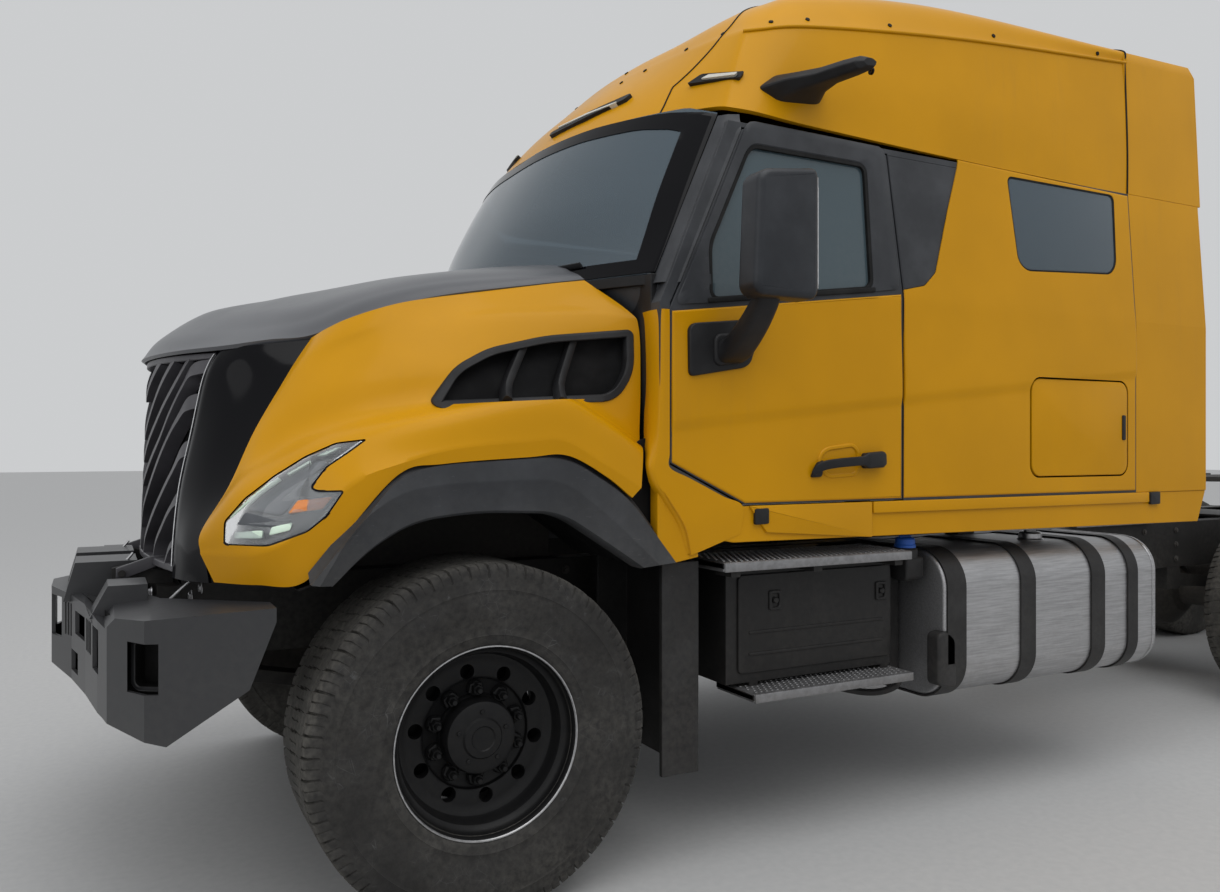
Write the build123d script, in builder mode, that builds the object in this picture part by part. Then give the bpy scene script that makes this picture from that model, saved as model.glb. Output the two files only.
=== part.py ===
from build123d import *
import os
from math import cos, radians, sin

# Bonneted tractor unit with a high-roof sleeper cab. Millimetres, +X forward, +Y left, +Z up.
# The origin is on the ground, midway along and across the vehicle.
# Stations called x in the tables are measured forward from the front axle.

# Driving dimensions of the whole vehicle
BUMPER_NOSE = 1215
WHEELBASE = 5150
TANDEM_SPACING = 1370
REAR_OVERHANG = 890
HALF_WIDTH = 1220
TUMBLEHOME = 40
FRAME_END = -(WHEELBASE + TANDEM_SPACING + REAR_OVERHANG)
FRONT_AXLE_X = -(BUMPER_NOSE + FRAME_END) / 2
DRIVE_AXLES = {"drive1": -WHEELBASE, "drive2": -(WHEELBASE + TANDEM_SPACING)}
SEAT_GAP = 0.3
RUNNING_GAP = 6

# Wheels
FRONT_TYRE_R = 555
FRONT_TYRE_WIDTH = 422
FRONT_WHEEL_Y = 1009
DRIVE_TYRE_R = 530
DRIVE_TYRE_WIDTH = 280
DUAL_OUTER_Y = 1075
DUAL_INNER_Y = 735
RIM_FLANGE_R = 298
BEAD_R = 283
BARREL_INNER_R = 268
DISC_THICKNESS = 14
HAND_HOLES = 10
HAND_HOLE_R = 22
HAND_HOLE_CIRCLE_R = 200
HUB_R = 118
SPINDLE_R = 46

# Front axle and steering
KINGPIN_Y = 870
KINGPIN_R = 22
KINGPIN_EYE_R = 50
BEAM_DEPTH = 100
BEAM_HEIGHT = 120
BEAM_DROP = 95
KNUCKLE_EAR = 35
STEER_ARM = 150
TIE_ROD_R = 18
TIE_ROD_PIN_R = 12

# Frame
RAIL_OUTER_Y = 430
RAIL_FLANGE = 90
RAIL_HEIGHT = 270
RAIL_WALL = 10
RAIL_TOP_Z = 1020
RAIL_LOW_Z = RAIL_TOP_Z - RAIL_HEIGHT
RAIL_FRONT = 820
WEB_Y = RAIL_OUTER_Y - RAIL_WALL
SPRING_Y = 405
SPRING_WIDTH = 90

# Cab
WALL = 60
INNER_Y = HALF_WIDTH - WALL
TOP_HALF_WIDTH = HALF_WIDTH - TUMBLEHOME
CAB_BOTTOM_Z = 1262
SKIRT_BOTTOM_Z = 1115
BELT_Z = 2040
CAB_TOP_Z = 2628
CAB_FRONT = -600
CAB_REAR = -3112
FLOOR_THICKNESS = 40
GLASS = 6
GLASS_INSET = 12
PANEL_GAP = 6
HINGE_EDGE_GAP = 0.5
EXTENDER_REAR = -3640
EXTENDER_WALL = 40
ROOF_WALL = 45
WINDSHIELD_BASE_Z = 2065
BEYOND = 1400

# Hood
HOOD_WALL = 40
HOOD_REAR = -590
HOOD_HINGE_X = 1000
HOOD_HINGE_Z = 1045
HOOD_HINGE_Y = 330
HOOD_PIN_R = 12

# Fifth wheel
FIFTH_WHEEL_X = -(WHEELBASE + TANDEM_SPACING / 2) + 300
FIFTH_WHEEL_PIVOT_Z = 1190
FIFTH_WHEEL_TOP_Z = 1280
FIFTH_WHEEL_HALF_WIDTH = 450
FIFTH_WHEEL_PLATE = 30
FIFTH_WHEEL_REACH = 470
PIVOT_R = 25
BRACKET_R = 45
KINGPIN_JAW_R = 25.4

# Side equipment
TANK_FRONT = -1930
TANK_REAR = -3280
TANK_BOTTOM_Z = 450
TANK_TOP_Z = 1050
TANK_INNER_Y = 560
TANK_OUTER_Y = 1210
TANK_ROUND = 150
FLUID_TANK_FRONT = -1775
STRAP_THICKNESS = 8

os.makedirs("parts", exist_ok=True)


def station(x):
    """Vehicle X of a place measured forward from the front axle."""
    return FRONT_AXLE_X + x


def side_prism(outline, y_from, y_to, margin=0):
    """Prism between two Y planes from a side outline of (x, z), grown outwards by a margin."""
    with BuildPart() as prism:
        with BuildSketch(Plane.XZ.offset(-y_to)):
            with BuildLine():
                Polyline(*[(station(x), z) for x, z in outline], close=True)
            make_face()
            if margin != 0:
                offset(amount=margin, kind=Kind.INTERSECTION)
        extrude(amount=y_to - y_from)
    return prism.part


def cross_prism(outline, x_from, x_to, margin=0):
    """Prism between two stations from a cross section of (y, z), grown outwards by a margin."""
    with BuildPart() as prism:
        with BuildSketch(Plane.YZ.offset(station(x_from))):
            with BuildLine():
                Polyline(*outline, close=True)
            make_face()
            if margin != 0:
                offset(amount=margin, kind=Kind.INTERSECTION)
        extrude(amount=x_to - x_from)
    return prism.part


def plan_prism(outline, z_from, z_to, margin=0):
    """Prism between two heights from a plan of (x, y), grown outwards by a margin."""
    with BuildPart() as prism:
        with BuildSketch(Plane.XY.offset(z_from)):
            with BuildLine():
                Polyline(*[(station(x), y) for x, y in outline], close=True)
            make_face()
            if margin != 0:
                offset(amount=margin, kind=Kind.INTERSECTION)
        extrude(amount=z_to - z_from)
    return prism.part


def block(x_from, x_to, y_from, y_to, z_from, z_to):
    """Box between two stations, two Y values and two heights."""
    with BuildPart() as box:
        with Locations((station((x_from + x_to) / 2), (y_from + y_to) / 2, (z_from + z_to) / 2)):
            Box(abs(x_to - x_from), abs(y_to - y_from), abs(z_to - z_from))
    return box.part


def cross_rod(x, z, y_from, y_to, radius):
    """Round bar across the vehicle, from one Y value to another."""
    with BuildPart() as rod:
        with BuildSketch(Plane.XZ.offset(-max(y_from, y_to))):
            with Locations((station(x), z)):
                Circle(radius)
        extrude(amount=abs(y_to - y_from))
    return rod.part


def upright_rod(x, y, z_from, z_to, radius):
    """Round bar standing upright between two heights."""
    with BuildPart() as rod:
        with BuildSketch(Plane.XY.offset(z_from)):
            with Locations((station(x), y)):
                Circle(radius)
        extrude(amount=z_to - z_from)
    return rod.part


def turned(profile, x, z):
    """Solid of revolution about the wheel axis at one station; profile is a list of (radius, y)."""
    with BuildPart() as solid:
        with BuildSketch(Plane.YZ.offset(station(x))):
            with BuildLine():
                Polyline(*[(y, z + radius) for radius, y in profile], close=True)
            make_face()
        revolve(axis=Axis((station(x), 0, z), (0, 1, 0)))
    return solid.part


def mirrored(points):
    """A left-hand outline of (y, z) closed by its mirror image across the middle plane."""
    return points + [(-y, z) for y, z in reversed(points)]


def both_sides(half_plan):
    """Closed plan outline of (x, y) from its left half."""
    return half_plan + [(x, -y) for x, y in reversed(half_plan) if y != 0]


def section_loft(sections):
    """Straight loft through closed (y, z) outlines, one at each station."""
    with BuildPart() as body:
        for x, outline in sections:
            with BuildSketch(Plane.YZ.offset(station(x))):
                with BuildLine():
                    Polyline(*outline, close=True)
                make_face()
        loft(ruled=True)
    return body.part


def flip(part):
    """The same piece on the other side of the vehicle."""
    return part.mirror(Plane.XZ)


def save(solids, label):
    """Write one node; its solids are the given pieces, which do not overlap."""
    pieces = []
    for item in solids:
        pieces.extend(item.solids())
    node = pieces[0] if len(pieces) == 1 else Compound(children=pieces)
    node.label = label
    export_step(node, f"parts/{label}.step")


# Cab wall: one leaning section that the doors, side walls and panels are all cut from
def wall_section(outer_inset, thickness, z_from, z_to):
    """Cross section of the left side wall, set in from the skin and as thick as asked."""
    lean = TUMBLEHOME / (CAB_TOP_Z - BELT_Z)
    skin = HALF_WIDTH - outer_inset
    top = skin - lean * (z_to - BELT_Z)
    return [
        (skin, z_from),
        (skin, BELT_Z),
        (top, z_to),
        (top - thickness, z_to),
        (skin - thickness, BELT_Z),
        (skin - thickness, z_from),
    ]


DOOR_OUTLINE = [
    (-640, 1417), (-640, 1945), (-962, 2604), (-1643, 2604), (-1693, 2072), (-1690, 1266), (-948, 1266),
]
DOOR_WINDOW = [(-808, 1985), (-811, 2172), (-983, 2519), (-1012, 2546), (-1529, 2545), (-1535, 2078)]
CAB_SIDE_OUTLINE = [
    (CAB_FRONT, 1400), (CAB_FRONT, 1960), (-905, CAB_TOP_Z), (CAB_REAR, CAB_TOP_Z),
    (CAB_REAR, CAB_BOTTOM_Z), (-948, CAB_BOTTOM_Z),
]
QUARTER_OUTLINE = [(-1652, 2604), (-2020, 2604), (-1957, 2423), (-1872, 2160), (-1811, 2104), (-1703, 2080)]
SLEEPER_WINDOW = [
    (-2314, 2600), (-2345, 2254), (-2416, 2203), (-2930, 2225), (-2985, 2290), (-2990, 2600),
]
LUGGAGE_OUTLINE = [(-2410, 1345), (-2410, 1760), (-3045, 1760), (-3045, 1345)]

side_wall_band = cross_prism(wall_section(0, WALL, SKIRT_BOTTOM_Z, CAB_TOP_Z), CAB_REAR, CAB_FRONT)
glass_band = cross_prism(wall_section(GLASS_INSET, GLASS, CAB_BOTTOM_Z, CAB_TOP_Z), CAB_REAR, CAB_FRONT)


def panel_opening(outline):
    """Opening with a panel gap all round, but closed up to its door along the hinge edge."""
    hinge_x = outline[0][0]
    hinge_side = block(hinge_x + HINGE_EDGE_GAP, hinge_x + WALL, 0, BEYOND, SKIRT_BOTTOM_Z, CAB_TOP_Z)
    return side_prism(outline, 0, BEYOND, PANEL_GAP) - hinge_side


window_hole = side_prism(DOOR_WINDOW, 0, BEYOND)
quarter_hole = side_prism(QUARTER_OUTLINE, 0, BEYOND)
sleeper_hole = side_prism(SLEEPER_WINDOW, 0, BEYOND)
door = (side_wall_band & side_prism(DOOR_OUTLINE, 0, BEYOND)) - window_hole
door_glass = glass_band & window_hole
cab_side = side_wall_band & side_prism(CAB_SIDE_OUTLINE, 0, BEYOND)
cab_side = cab_side - panel_opening(DOOR_OUTLINE) - panel_opening(LUGGAGE_OUTLINE)
cab_side = cab_side - quarter_hole - sleeper_hole
quarter_panel = side_wall_band & quarter_hole
sleeper_window = glass_band & sleeper_hole
luggage_door = side_wall_band & side_prism(LUGGAGE_OUTLINE, 0, BEYOND)

save([cab_side, flip(cab_side)], "cab_sides")
save([quarter_panel, flip(quarter_panel)], "quarter_panels")
save([door], "door_left")
save([flip(door)], "door_right")
save([door_glass], "door_glass_left")
save([flip(door_glass)], "door_glass_right")
save([luggage_door], "luggage_door_left")
save([flip(luggage_door)], "luggage_door_right")

# Mirrors: base plate on the door, leaning arm and narrow housing
MIRROR_BASE = [(-706, 1709), (-706, 1876), (-725, 1893), (-1022, 1926), (-959, 1763), (-932, 1747)]
MIRROR_HOUSING = [
    (-745, 1975), (-770, 1948), (-985, 1948), (-1000, 1970), (-1000, 2355), (-985, 2375), (-790, 2350),
    (-760, 2325),
]
MIRROR_BASE_THICKNESS = 22
MIRROR_INNER_Y = HALF_WIDTH + 235
MIRROR_OUTER_Y = HALF_WIDTH + 345
base_plate = side_prism(MIRROR_BASE, HALF_WIDTH, HALF_WIDTH + MIRROR_BASE_THICKNESS)
with BuildPart() as mirror_arm:
    with BuildSketch(Plane.XZ.offset(-(HALF_WIDTH + MIRROR_BASE_THICKNESS))):
        with Locations((station(-870), 1810)):
            RectangleRounded(120, 90, 30)
    with BuildSketch(Plane.XZ.offset(-(MIRROR_INNER_Y + 30))):
        with Locations((station(-840), 1980)):
            RectangleRounded(90, 60, 20)
    loft()
housing = side_prism(MIRROR_HOUSING, MIRROR_INNER_Y, MIRROR_OUTER_Y)
mirror_piece = base_plate + mirror_arm.part + housing
save([mirror_piece], "mirror_left")
save([flip(mirror_piece)], "mirror_right")

# Cab floor on four pedestals, rear wall, firewall with cowl
PEDESTAL_STATIONS = [-900, -2900]
PEDESTAL_HALF = 60
cab_floor = block(
    CAB_REAR + WALL, CAB_FRONT - WALL, -INNER_Y, INNER_Y, CAB_BOTTOM_Z, CAB_BOTTOM_Z + FLOOR_THICKNESS
)
for x in PEDESTAL_STATIONS:
    pedestal = block(
        x - PEDESTAL_HALF, x + PEDESTAL_HALF, RAIL_OUTER_Y - RAIL_FLANGE, RAIL_OUTER_Y, RAIL_TOP_Z, CAB_BOTTOM_Z
    )
    cab_floor = cab_floor + pedestal + flip(pedestal)
save([cab_floor], "cab_floor")

wall_half = [(INNER_Y, CAB_BOTTOM_Z), (INNER_Y, BELT_Z), (TOP_HALF_WIDTH - WALL, CAB_TOP_Z)]
rear_wall = cross_prism(mirrored(wall_half), CAB_REAR, CAB_REAR + WALL)

FIREWALL_LOW_Z = 1380
firewall_half = [(INNER_Y, FIREWALL_LOW_Z), (INNER_Y, BELT_Z), (INNER_Y - 2, WINDSHIELD_BASE_Z)]
firewall = cross_prism(mirrored(firewall_half), CAB_FRONT - WALL, CAB_FRONT)
TOE_REAR = -948
toe_board = side_prism(
    [
        (CAB_FRONT, FIREWALL_LOW_Z), (-900, CAB_BOTTOM_Z), (TOE_REAR, CAB_BOTTOM_Z),
        (TOE_REAR, CAB_BOTTOM_Z + FLOOR_THICKNESS), (CAB_FRONT - WALL, FIREWALL_LOW_Z + 20),
    ],
    -INNER_Y,
    INNER_Y,
)

# Windshield plan arcs: centre station, corner station, half width
GLASS_BASE = (-290, -614, INNER_Y - 18)
GLASS_TOP = (-755, -1021, INNER_Y - 57)
GLASS_RISE = 800
GLASS_DEPTH = 14
COWL_HEIGHT = 35


def arc_band(centre_x, corner_x, half_width, depth):
    """Plan band bounded by two arcs, bulging forward."""
    with BuildLine() as line:
        ThreePointArc(
            (station(corner_x), half_width), (station(centre_x), 0), (station(corner_x), -half_width)
        )
        Line((station(corner_x), -half_width), (station(corner_x - depth), -half_width))
        ThreePointArc(
            (station(corner_x - depth), -half_width),
            (station(centre_x - depth), 0),
            (station(corner_x - depth), half_width),
        )
        Line((station(corner_x - depth), half_width), (station(corner_x), half_width))
    return line.line


with BuildPart() as cowl:
    with BuildSketch(Plane.XY.offset(WINDSHIELD_BASE_Z - COWL_HEIGHT)):
        with BuildLine():
            ThreePointArc(
                (station(CAB_FRONT), INNER_Y - 40),
                (station(GLASS_BASE[0] + 15), 0),
                (station(CAB_FRONT), -(INNER_Y - 40)),
            )
            Line((station(CAB_FRONT), -(INNER_Y - 40)), (station(CAB_FRONT), INNER_Y - 40))
        make_face()
    extrude(amount=COWL_HEIGHT)
firewall_piece = (firewall + toe_board + cowl.part) - cab_floor
save([firewall_piece, rear_wall], "cab_end_walls")

# Roof: half sections from the foot up to the crown, widths given as insets from the cab's top width
ROOF_SECTIONS = [
    # x, crease inset, crease z, shoulder inset, shoulder z, top inset, top z, crown z
    (-620, 130, 2632, 330, 2672, 730, 2712, 2730),
    (-840, 230, 2745, 600, 2940, 880, 3050, 3080),
    (-970, 180, 2910, 420, 3040, 730, 3140, 3175),
    (-1200, 70, 3045, 255, 3195, 580, 3245, 3280),
    (-1450, 45, 3070, 200, 3260, 580, 3325, 3352),
    (-1800, 35, 3120, 160, 3290, 480, 3370, 3420),
    (-2100, 28, 3152, 130, 3315, 420, 3395, 3435),
    (CAB_REAR, 15, 3235, 45, 3300, 380, 3385, 3445),
]
EXTENDER_REAR_SECTION = (EXTENDER_REAR - 20, 30, 3262, 60, 3325, 380, 3410, 3468)
ROOF_FRONT_LEAD = -650
ROOF_FRONT_CORNER = -985
ROOF_FRONT_WALL = 90
ROOF_EDGE = [(-560, 2800), (-660, 2772), (-745, 2747), (-850, 2727), (-915, 2700), (-985, CAB_TOP_Z)]
ROOF_FOOT = 60
CROWN_HALF = 200


def roof_outline(row, inset):
    """Closed cross section of the roof, moved inwards by an inset."""
    x, crease_in, crease_z, shoulder_in, shoulder_z, top_in, top_z, crown_z = row
    foot = TOP_HALF_WIDTH - inset
    half = [
        (foot, CAB_TOP_Z - ROOF_FOOT),
        (foot, CAB_TOP_Z),
        (foot - crease_in, crease_z - inset * 0.3),
        (TOP_HALF_WIDTH - shoulder_in - inset * 0.6, shoulder_z - inset * 0.9),
        (TOP_HALF_WIDTH - top_in - inset * 0.2, top_z - inset),
        (CROWN_HALF, crown_z - inset),
    ]
    return mirrored(half)


def front_arc_prism(lead_x, corner_x, half_width, rear_x, z_from, z_to):
    """Upright prism with a bowed front edge in plan."""
    with BuildPart() as prism:
        with BuildSketch(Plane.XY.offset(z_from)):
            with BuildLine():
                ThreePointArc(
                    (station(corner_x), half_width), (station(lead_x), 0), (station(corner_x), -half_width)
                )
                Polyline(
                    (station(corner_x), -half_width),
                    (station(rear_x), -half_width),
                    (station(rear_x), half_width),
                    (station(corner_x), half_width),
                )
            make_face()
        extrude(amount=z_to - z_from)
    return prism.part


roof_outer = section_loft([(row[0], roof_outline(row, 0)) for row in ROOF_SECTIONS])
roof_inner = section_loft(
    [(row[0] - ROOF_WALL * (row is ROOF_SECTIONS[0]), roof_outline(row, ROOF_WALL)) for row in ROOF_SECTIONS]
)
ROOF_LOW_Z, ROOF_HIGH_Z = 2400, 3600
roof_plan = front_arc_prism(
    ROOF_FRONT_LEAD, ROOF_FRONT_CORNER, HALF_WIDTH, CAB_REAR, ROOF_LOW_Z, ROOF_HIGH_Z
)
roof_hollow_plan = front_arc_prism(
    ROOF_FRONT_LEAD - ROOF_FRONT_WALL, ROOF_FRONT_CORNER - ROOF_FRONT_WALL,
    HALF_WIDTH, CAB_REAR + WALL, ROOF_LOW_Z, ROOF_HIGH_Z,
)
below_roof = side_prism(
    ROOF_EDGE + [(EXTENDER_REAR - 200, CAB_TOP_Z), (EXTENDER_REAR - 200, 2000), (-560, 2000)], -BEYOND, BEYOND
)
above_roof_edge = side_prism(
    [(-300, 2873)] + ROOF_EDGE + [(-1400, CAB_TOP_Z), (-1400, ROOF_HIGH_Z), (-300, ROOF_HIGH_Z)],
    -BEYOND,
    BEYOND,
)
roof = (roof_outer & roof_plan) - (roof_inner & roof_hollow_plan) - below_roof
save([roof], "roof_fairing")

# Windshield between cowl and roof
with BuildPart() as glass_sheet:
    with BuildSketch(Plane.XY.offset(WINDSHIELD_BASE_Z)):
        add(arc_band(*GLASS_BASE, GLASS_DEPTH))
        make_face()
    with BuildSketch(Plane.XY.offset(WINDSHIELD_BASE_Z + GLASS_RISE)):
        add(arc_band(*GLASS_TOP, GLASS_DEPTH))
        make_face()
    loft(ruled=True)
windshield = glass_sheet.part - above_roof_edge
save([windshield, sleeper_window, flip(sleeper_window)], "cab_glass")

# Roof extender, side extenders and sill skirts
extender_rows = [(CAB_REAR - SEAT_GAP, ROOF_SECTIONS[-1]), (EXTENDER_REAR - 20, EXTENDER_REAR_SECTION)]
extender_outer = section_loft([(x, roof_outline(row, 0)) for x, row in extender_rows])
extender_inner = section_loft([(x, roof_outline(row, EXTENDER_WALL)) for x, row in extender_rows])
extender_foot_z = CAB_TOP_Z + SEAT_GAP
below_extender = block(EXTENDER_REAR - 200, CAB_REAR, -BEYOND, BEYOND, ROOF_LOW_Z, extender_foot_z)
roof_extender = extender_outer - extender_inner - below_extender

extender_section = wall_section(0, EXTENDER_WALL, CAB_BOTTOM_Z, CAB_TOP_Z)
side_extender = cross_prism(extender_section, EXTENDER_REAR, CAB_REAR - SEAT_GAP)
save([roof_extender, side_extender, flip(side_extender)], "extenders")

skirt_outline = [
    (-760, 1255), (-948, CAB_BOTTOM_Z - SEAT_GAP), (EXTENDER_REAR, CAB_BOTTOM_Z - SEAT_GAP),
    (EXTENDER_REAR + 60, SKIRT_BOTTOM_Z), (-900, SKIRT_BOTTOM_Z + 20), (-780, 1160),
]
skirt = side_prism(skirt_outline, INNER_Y, HALF_WIDTH - 4)
save([skirt, flip(skirt)], "sill_skirts")

# Hood: half sections from the fender lip up to the crown, widths as insets from the half width
HOOD_SECTIONS = [
    # x, crown z, then (inset, z) of lip, fender, crest, valley, side, upper side, shoulder, panel
    (HOOD_REAR, 2268, [
        (60, 1250), (12, 1340), (34, 1460), (98, 1505), (116, 1690), (138, 1885), (312, 2088), (370, 2135),
    ]),
    (-240, 2201, [
        (8, 1250), (5, 1490), (30, 1617), (112, 1658), (156, 1757), (210, 1896), (343, 2030), (403, 2072),
    ]),
    (100, 2133, [
        (8, 1250), (5, 1467), (38, 1570), (154, 1620), (208, 1736), (290, 1857), (370, 1968), (455, 2017),
    ]),
    (400, 2062, [
        (30, 1100), (28, 1370), (108, 1494), (236, 1557), (302, 1668), (388, 1770), (478, 1862), (577, 1915),
    ]),
    (640, 1999, [
        (120, 1060), (115, 1180), (190, 1366), (327, 1436), (420, 1519), (500, 1640), (578, 1811), (715, 1866),
    ]),
    (760, 1945, [
        (260, 1060), (276, 1154), (300, 1260), (375, 1330), (450, 1519), (560, 1700), (685, 1796), (800, 1856),
    ]),
    (860, 1872, [
        (330, 1060), (345, 1120), (370, 1200), (430, 1300), (540, 1519), (680, 1700), (882, 1791), (960, 1830),
    ]),
    (935, 1788, [
        (420, 1060), (440, 1120), (470, 1200), (540, 1300), (640, 1519), (800, 1700), (1010, 1780),
        (1030, 1784),
    ]),
]
HOOD_PLAN = [
    (-250, 0), (-289, 400), (-371, 700), (-454, 900), (-505, 1000), (HOOD_REAR, 1085), (HOOD_REAR, 1230),
    (500, 1230), (570, 1150), (680, 1060), (775, 930), (805, 860), (830, 640), (890, 420), (925, 200), (935, 0),
]
HOOD_CROWN_HALF = 150
# Share of the inset taken sideways and downwards at each corner; the lip runs on well below the shell
HOOD_INWARD = [(1.0, 5.0), (1.0, 0.0), (0.9, 0.6), (0.9, 0.5), (1.0, 0.2), (0.9, 0.4), (0.7, 0.8), (0.4, 1.0)]
HOOD_LOW_Z, HOOD_HIGH_Z = 800, 2400


def hood_outline(row, inset):
    """Closed cross section of the hood, moved inwards by an inset."""
    x, crown_z, corners = row
    half = []
    for (set_in, z), (sideways, downwards) in zip(corners, HOOD_INWARD):
        half.append((HALF_WIDTH - set_in - inset * sideways, z - inset * downwards))
    half.append((HOOD_CROWN_HALF, crown_z - inset))
    return mirrored(half)


ARCH_OUTLINE = [
    (660, 900), (520, 1090), (400, 1240), (225, 1340), (-28, 1375), (-284, 1350), (-467, 1250),
    (-560, 1120), (-700, 900),
]
hood_outer = section_loft([(row[0], hood_outline(row, 0)) for row in HOOD_SECTIONS])
hood_inner = section_loft([(row[0], hood_outline(row, HOOD_WALL)) for row in HOOD_SECTIONS])
hood_plan = plan_prism(both_sides(HOOD_PLAN), HOOD_LOW_Z, HOOD_HIGH_Z)
hood_hollow_plan = plan_prism(
    both_sides([(x - 60 * (x > 0), y) for x, y in HOOD_PLAN]), HOOD_LOW_Z, HOOD_HIGH_Z
)
arch = side_prism(ARCH_OUTLINE, -BEYOND, BEYOND)
hood_body = hood_outer & hood_plan
hood = hood_body - (hood_inner & hood_hollow_plan) - arch

GRILLE_HALF_TOP = 560
GRILLE_HALF_LOW = 500
GRILLE_TOP_Z = 1772
GRILLE_LOW_Z = 1085
BLADE_EDGE = [(905, 1000), (880, 1190), (840, 1350), (800, 1519), (762, 1675), (705, GRILLE_TOP_Z)]
front_opening = cross_prism(mirrored(BLADE_EDGE), 500, 1200)
TOP_PANEL_PLAN = [(-700, 915), (-270, 880), (40, 855), (270, 800), (440, 705), (1100, 700)]
top_cutter = plan_prism(both_sides([(-700, 0)] + TOP_PANEL_PLAN + [(1100, 0)]), GRILLE_TOP_Z, HOOD_HIGH_Z)
hood_top = hood & top_cutter
hood_shell = hood - top_cutter - front_opening

HEADLAMP_OUTLINE = [(759, 1184), (746, 1263), (560, 1440), (350, 1496), (413, 1340), (497, 1351), (549, 1197)]
VENT_OUTLINE = [(-567, 1866), (-461, 1637), (132, 1601), (-25, 1776), (-300, 1850)]
LAMP_INNER_Y = 700
headlamp_cut = side_prism(HEADLAMP_OUTLINE, LAMP_INNER_Y, BEYOND)
vent_cut = side_prism(VENT_OUTLINE, LAMP_INNER_Y, BEYOND)
headlamp = hood_shell & headlamp_cut
vent = hood_shell & vent_cut
hood_shell = hood_shell - headlamp_cut - vent_cut - flip(headlamp_cut) - flip(vent_cut)
save([hood_shell], "hood_shell")
save([hood_top], "hood_top_panel")
save([headlamp, flip(headlamp)], "headlamps")
save([vent, flip(vent)], "side_vents")


# Nose: bowed band that the gloss blades, the grille rim, its slats and its back plate are cut from
def front_band(rows, depth):
    """Bowed plate across the nose through two levels of (z, lead x, corner x, half width)."""
    with BuildPart() as band:
        for z, lead_x, corner_x, half_width in rows:
            with BuildSketch(Plane.XY.offset(z)):
                add(arc_band(lead_x, corner_x, half_width, depth))
                make_face()
        loft(ruled=True)
    return band.part


NOSE_ROWS = [
    # z, lead x, corner x, half width
    (1060, 930, 790, 900),
    (GRILLE_TOP_Z, 905, 540, 760),
]
NOSE_DEPTH = 50
BACK_PLATE_SETBACK = 42
BACK_PLATE_DEPTH = 16
nose_skin = front_band(NOSE_ROWS, NOSE_DEPTH)
back_rows = [(z, x - BACK_PLATE_SETBACK, corner - BACK_PLATE_SETBACK, half) for z, x, corner, half in NOSE_ROWS]
nose_back = front_band(back_rows, BACK_PLATE_DEPTH)
blade_outline = [(GRILLE_HALF_LOW, GRILLE_LOW_Z + 5), (893, GRILLE_LOW_Z + 5)] + BLADE_EDGE[1:] + [
    (GRILLE_HALF_TOP - 10, GRILLE_TOP_Z), (GRILLE_HALF_TOP - 30, 1600),
]
blade = nose_skin & cross_prism(blade_outline, 400, 1100)
blade = blade - hood_shell
blade = blade.solids().sort_by(SortBy.VOLUME)[-1]
save([blade, flip(blade)], "grille_surround")

SLAT_WIDTH = 26
SLAT_BEND_R = 90
SLAT_SHAPES = [
    # foot y, foot z, bend y, bend z, outer end z on the blade side
    (45, 1100, 330, 1660, 1700),
    (130, 1100, 370, 1540, 1590),
    (215, 1100, 400, 1410, 1460),
    (300, 1100, 425, 1290, 1330),
    (385, 1100, 450, 1180, 1210),
]
GRILLE_RIM = 30
GRILLE_FROM_X = 400
GRILLE_TO_X = 1100
grille_field = [
    (0, GRILLE_LOW_Z), (GRILLE_HALF_LOW - 1, GRILLE_LOW_Z), (GRILLE_HALF_TOP - 32, 1600),
    (GRILLE_HALF_TOP - 12, GRILLE_TOP_Z), (0, GRILLE_TOP_Z),
]
grille_whole = cross_prism(grille_field, GRILLE_FROM_X, GRILLE_TO_X)
grille_hole = cross_prism(grille_field, GRILLE_FROM_X, GRILLE_TO_X, -GRILLE_RIM)
half_grille = (grille_whole - grille_hole) & nose_skin
for foot_y, foot_z, bend_y, bend_z, outer_z in SLAT_SHAPES:
    with BuildPart() as slat:
        with BuildSketch(Plane.YZ.offset(station(GRILLE_FROM_X))):
            with BuildLine():
                FilletPolyline(
                    (foot_y, foot_z), (bend_y, bend_z), (GRILLE_HALF_TOP, outer_z), radius=SLAT_BEND_R
                )
            trace(line_width=SLAT_WIDTH)
        extrude(amount=GRILLE_TO_X - GRILLE_FROM_X)
    half_grille = half_grille + (slat.part & grille_whole & nose_skin)
half_grille = half_grille + (grille_whole & nose_back)
centre_bar = block(GRILLE_FROM_X, GRILLE_TO_X, -GRILLE_RIM, GRILLE_RIM, GRILLE_LOW_Z, GRILLE_TOP_Z) & nose_skin
grille = half_grille + flip(half_grille) + centre_bar
HINGE_LUG = [(850, 1100), (905, 1100), (1018, 1062), (1018, 1030), (984, 1030), (870, 1072)]
lug = side_prism(HINGE_LUG, HOOD_HINGE_Y + 25, HOOD_HINGE_Y + 47)
lug = lug - cross_rod(HOOD_HINGE_X, HOOD_HINGE_Z, HOOD_HINGE_Y, HOOD_HINGE_Y + 80, HOOD_PIN_R + SEAT_GAP)
grille = grille + lug + flip(lug)
save([grille], "grille")

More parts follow.
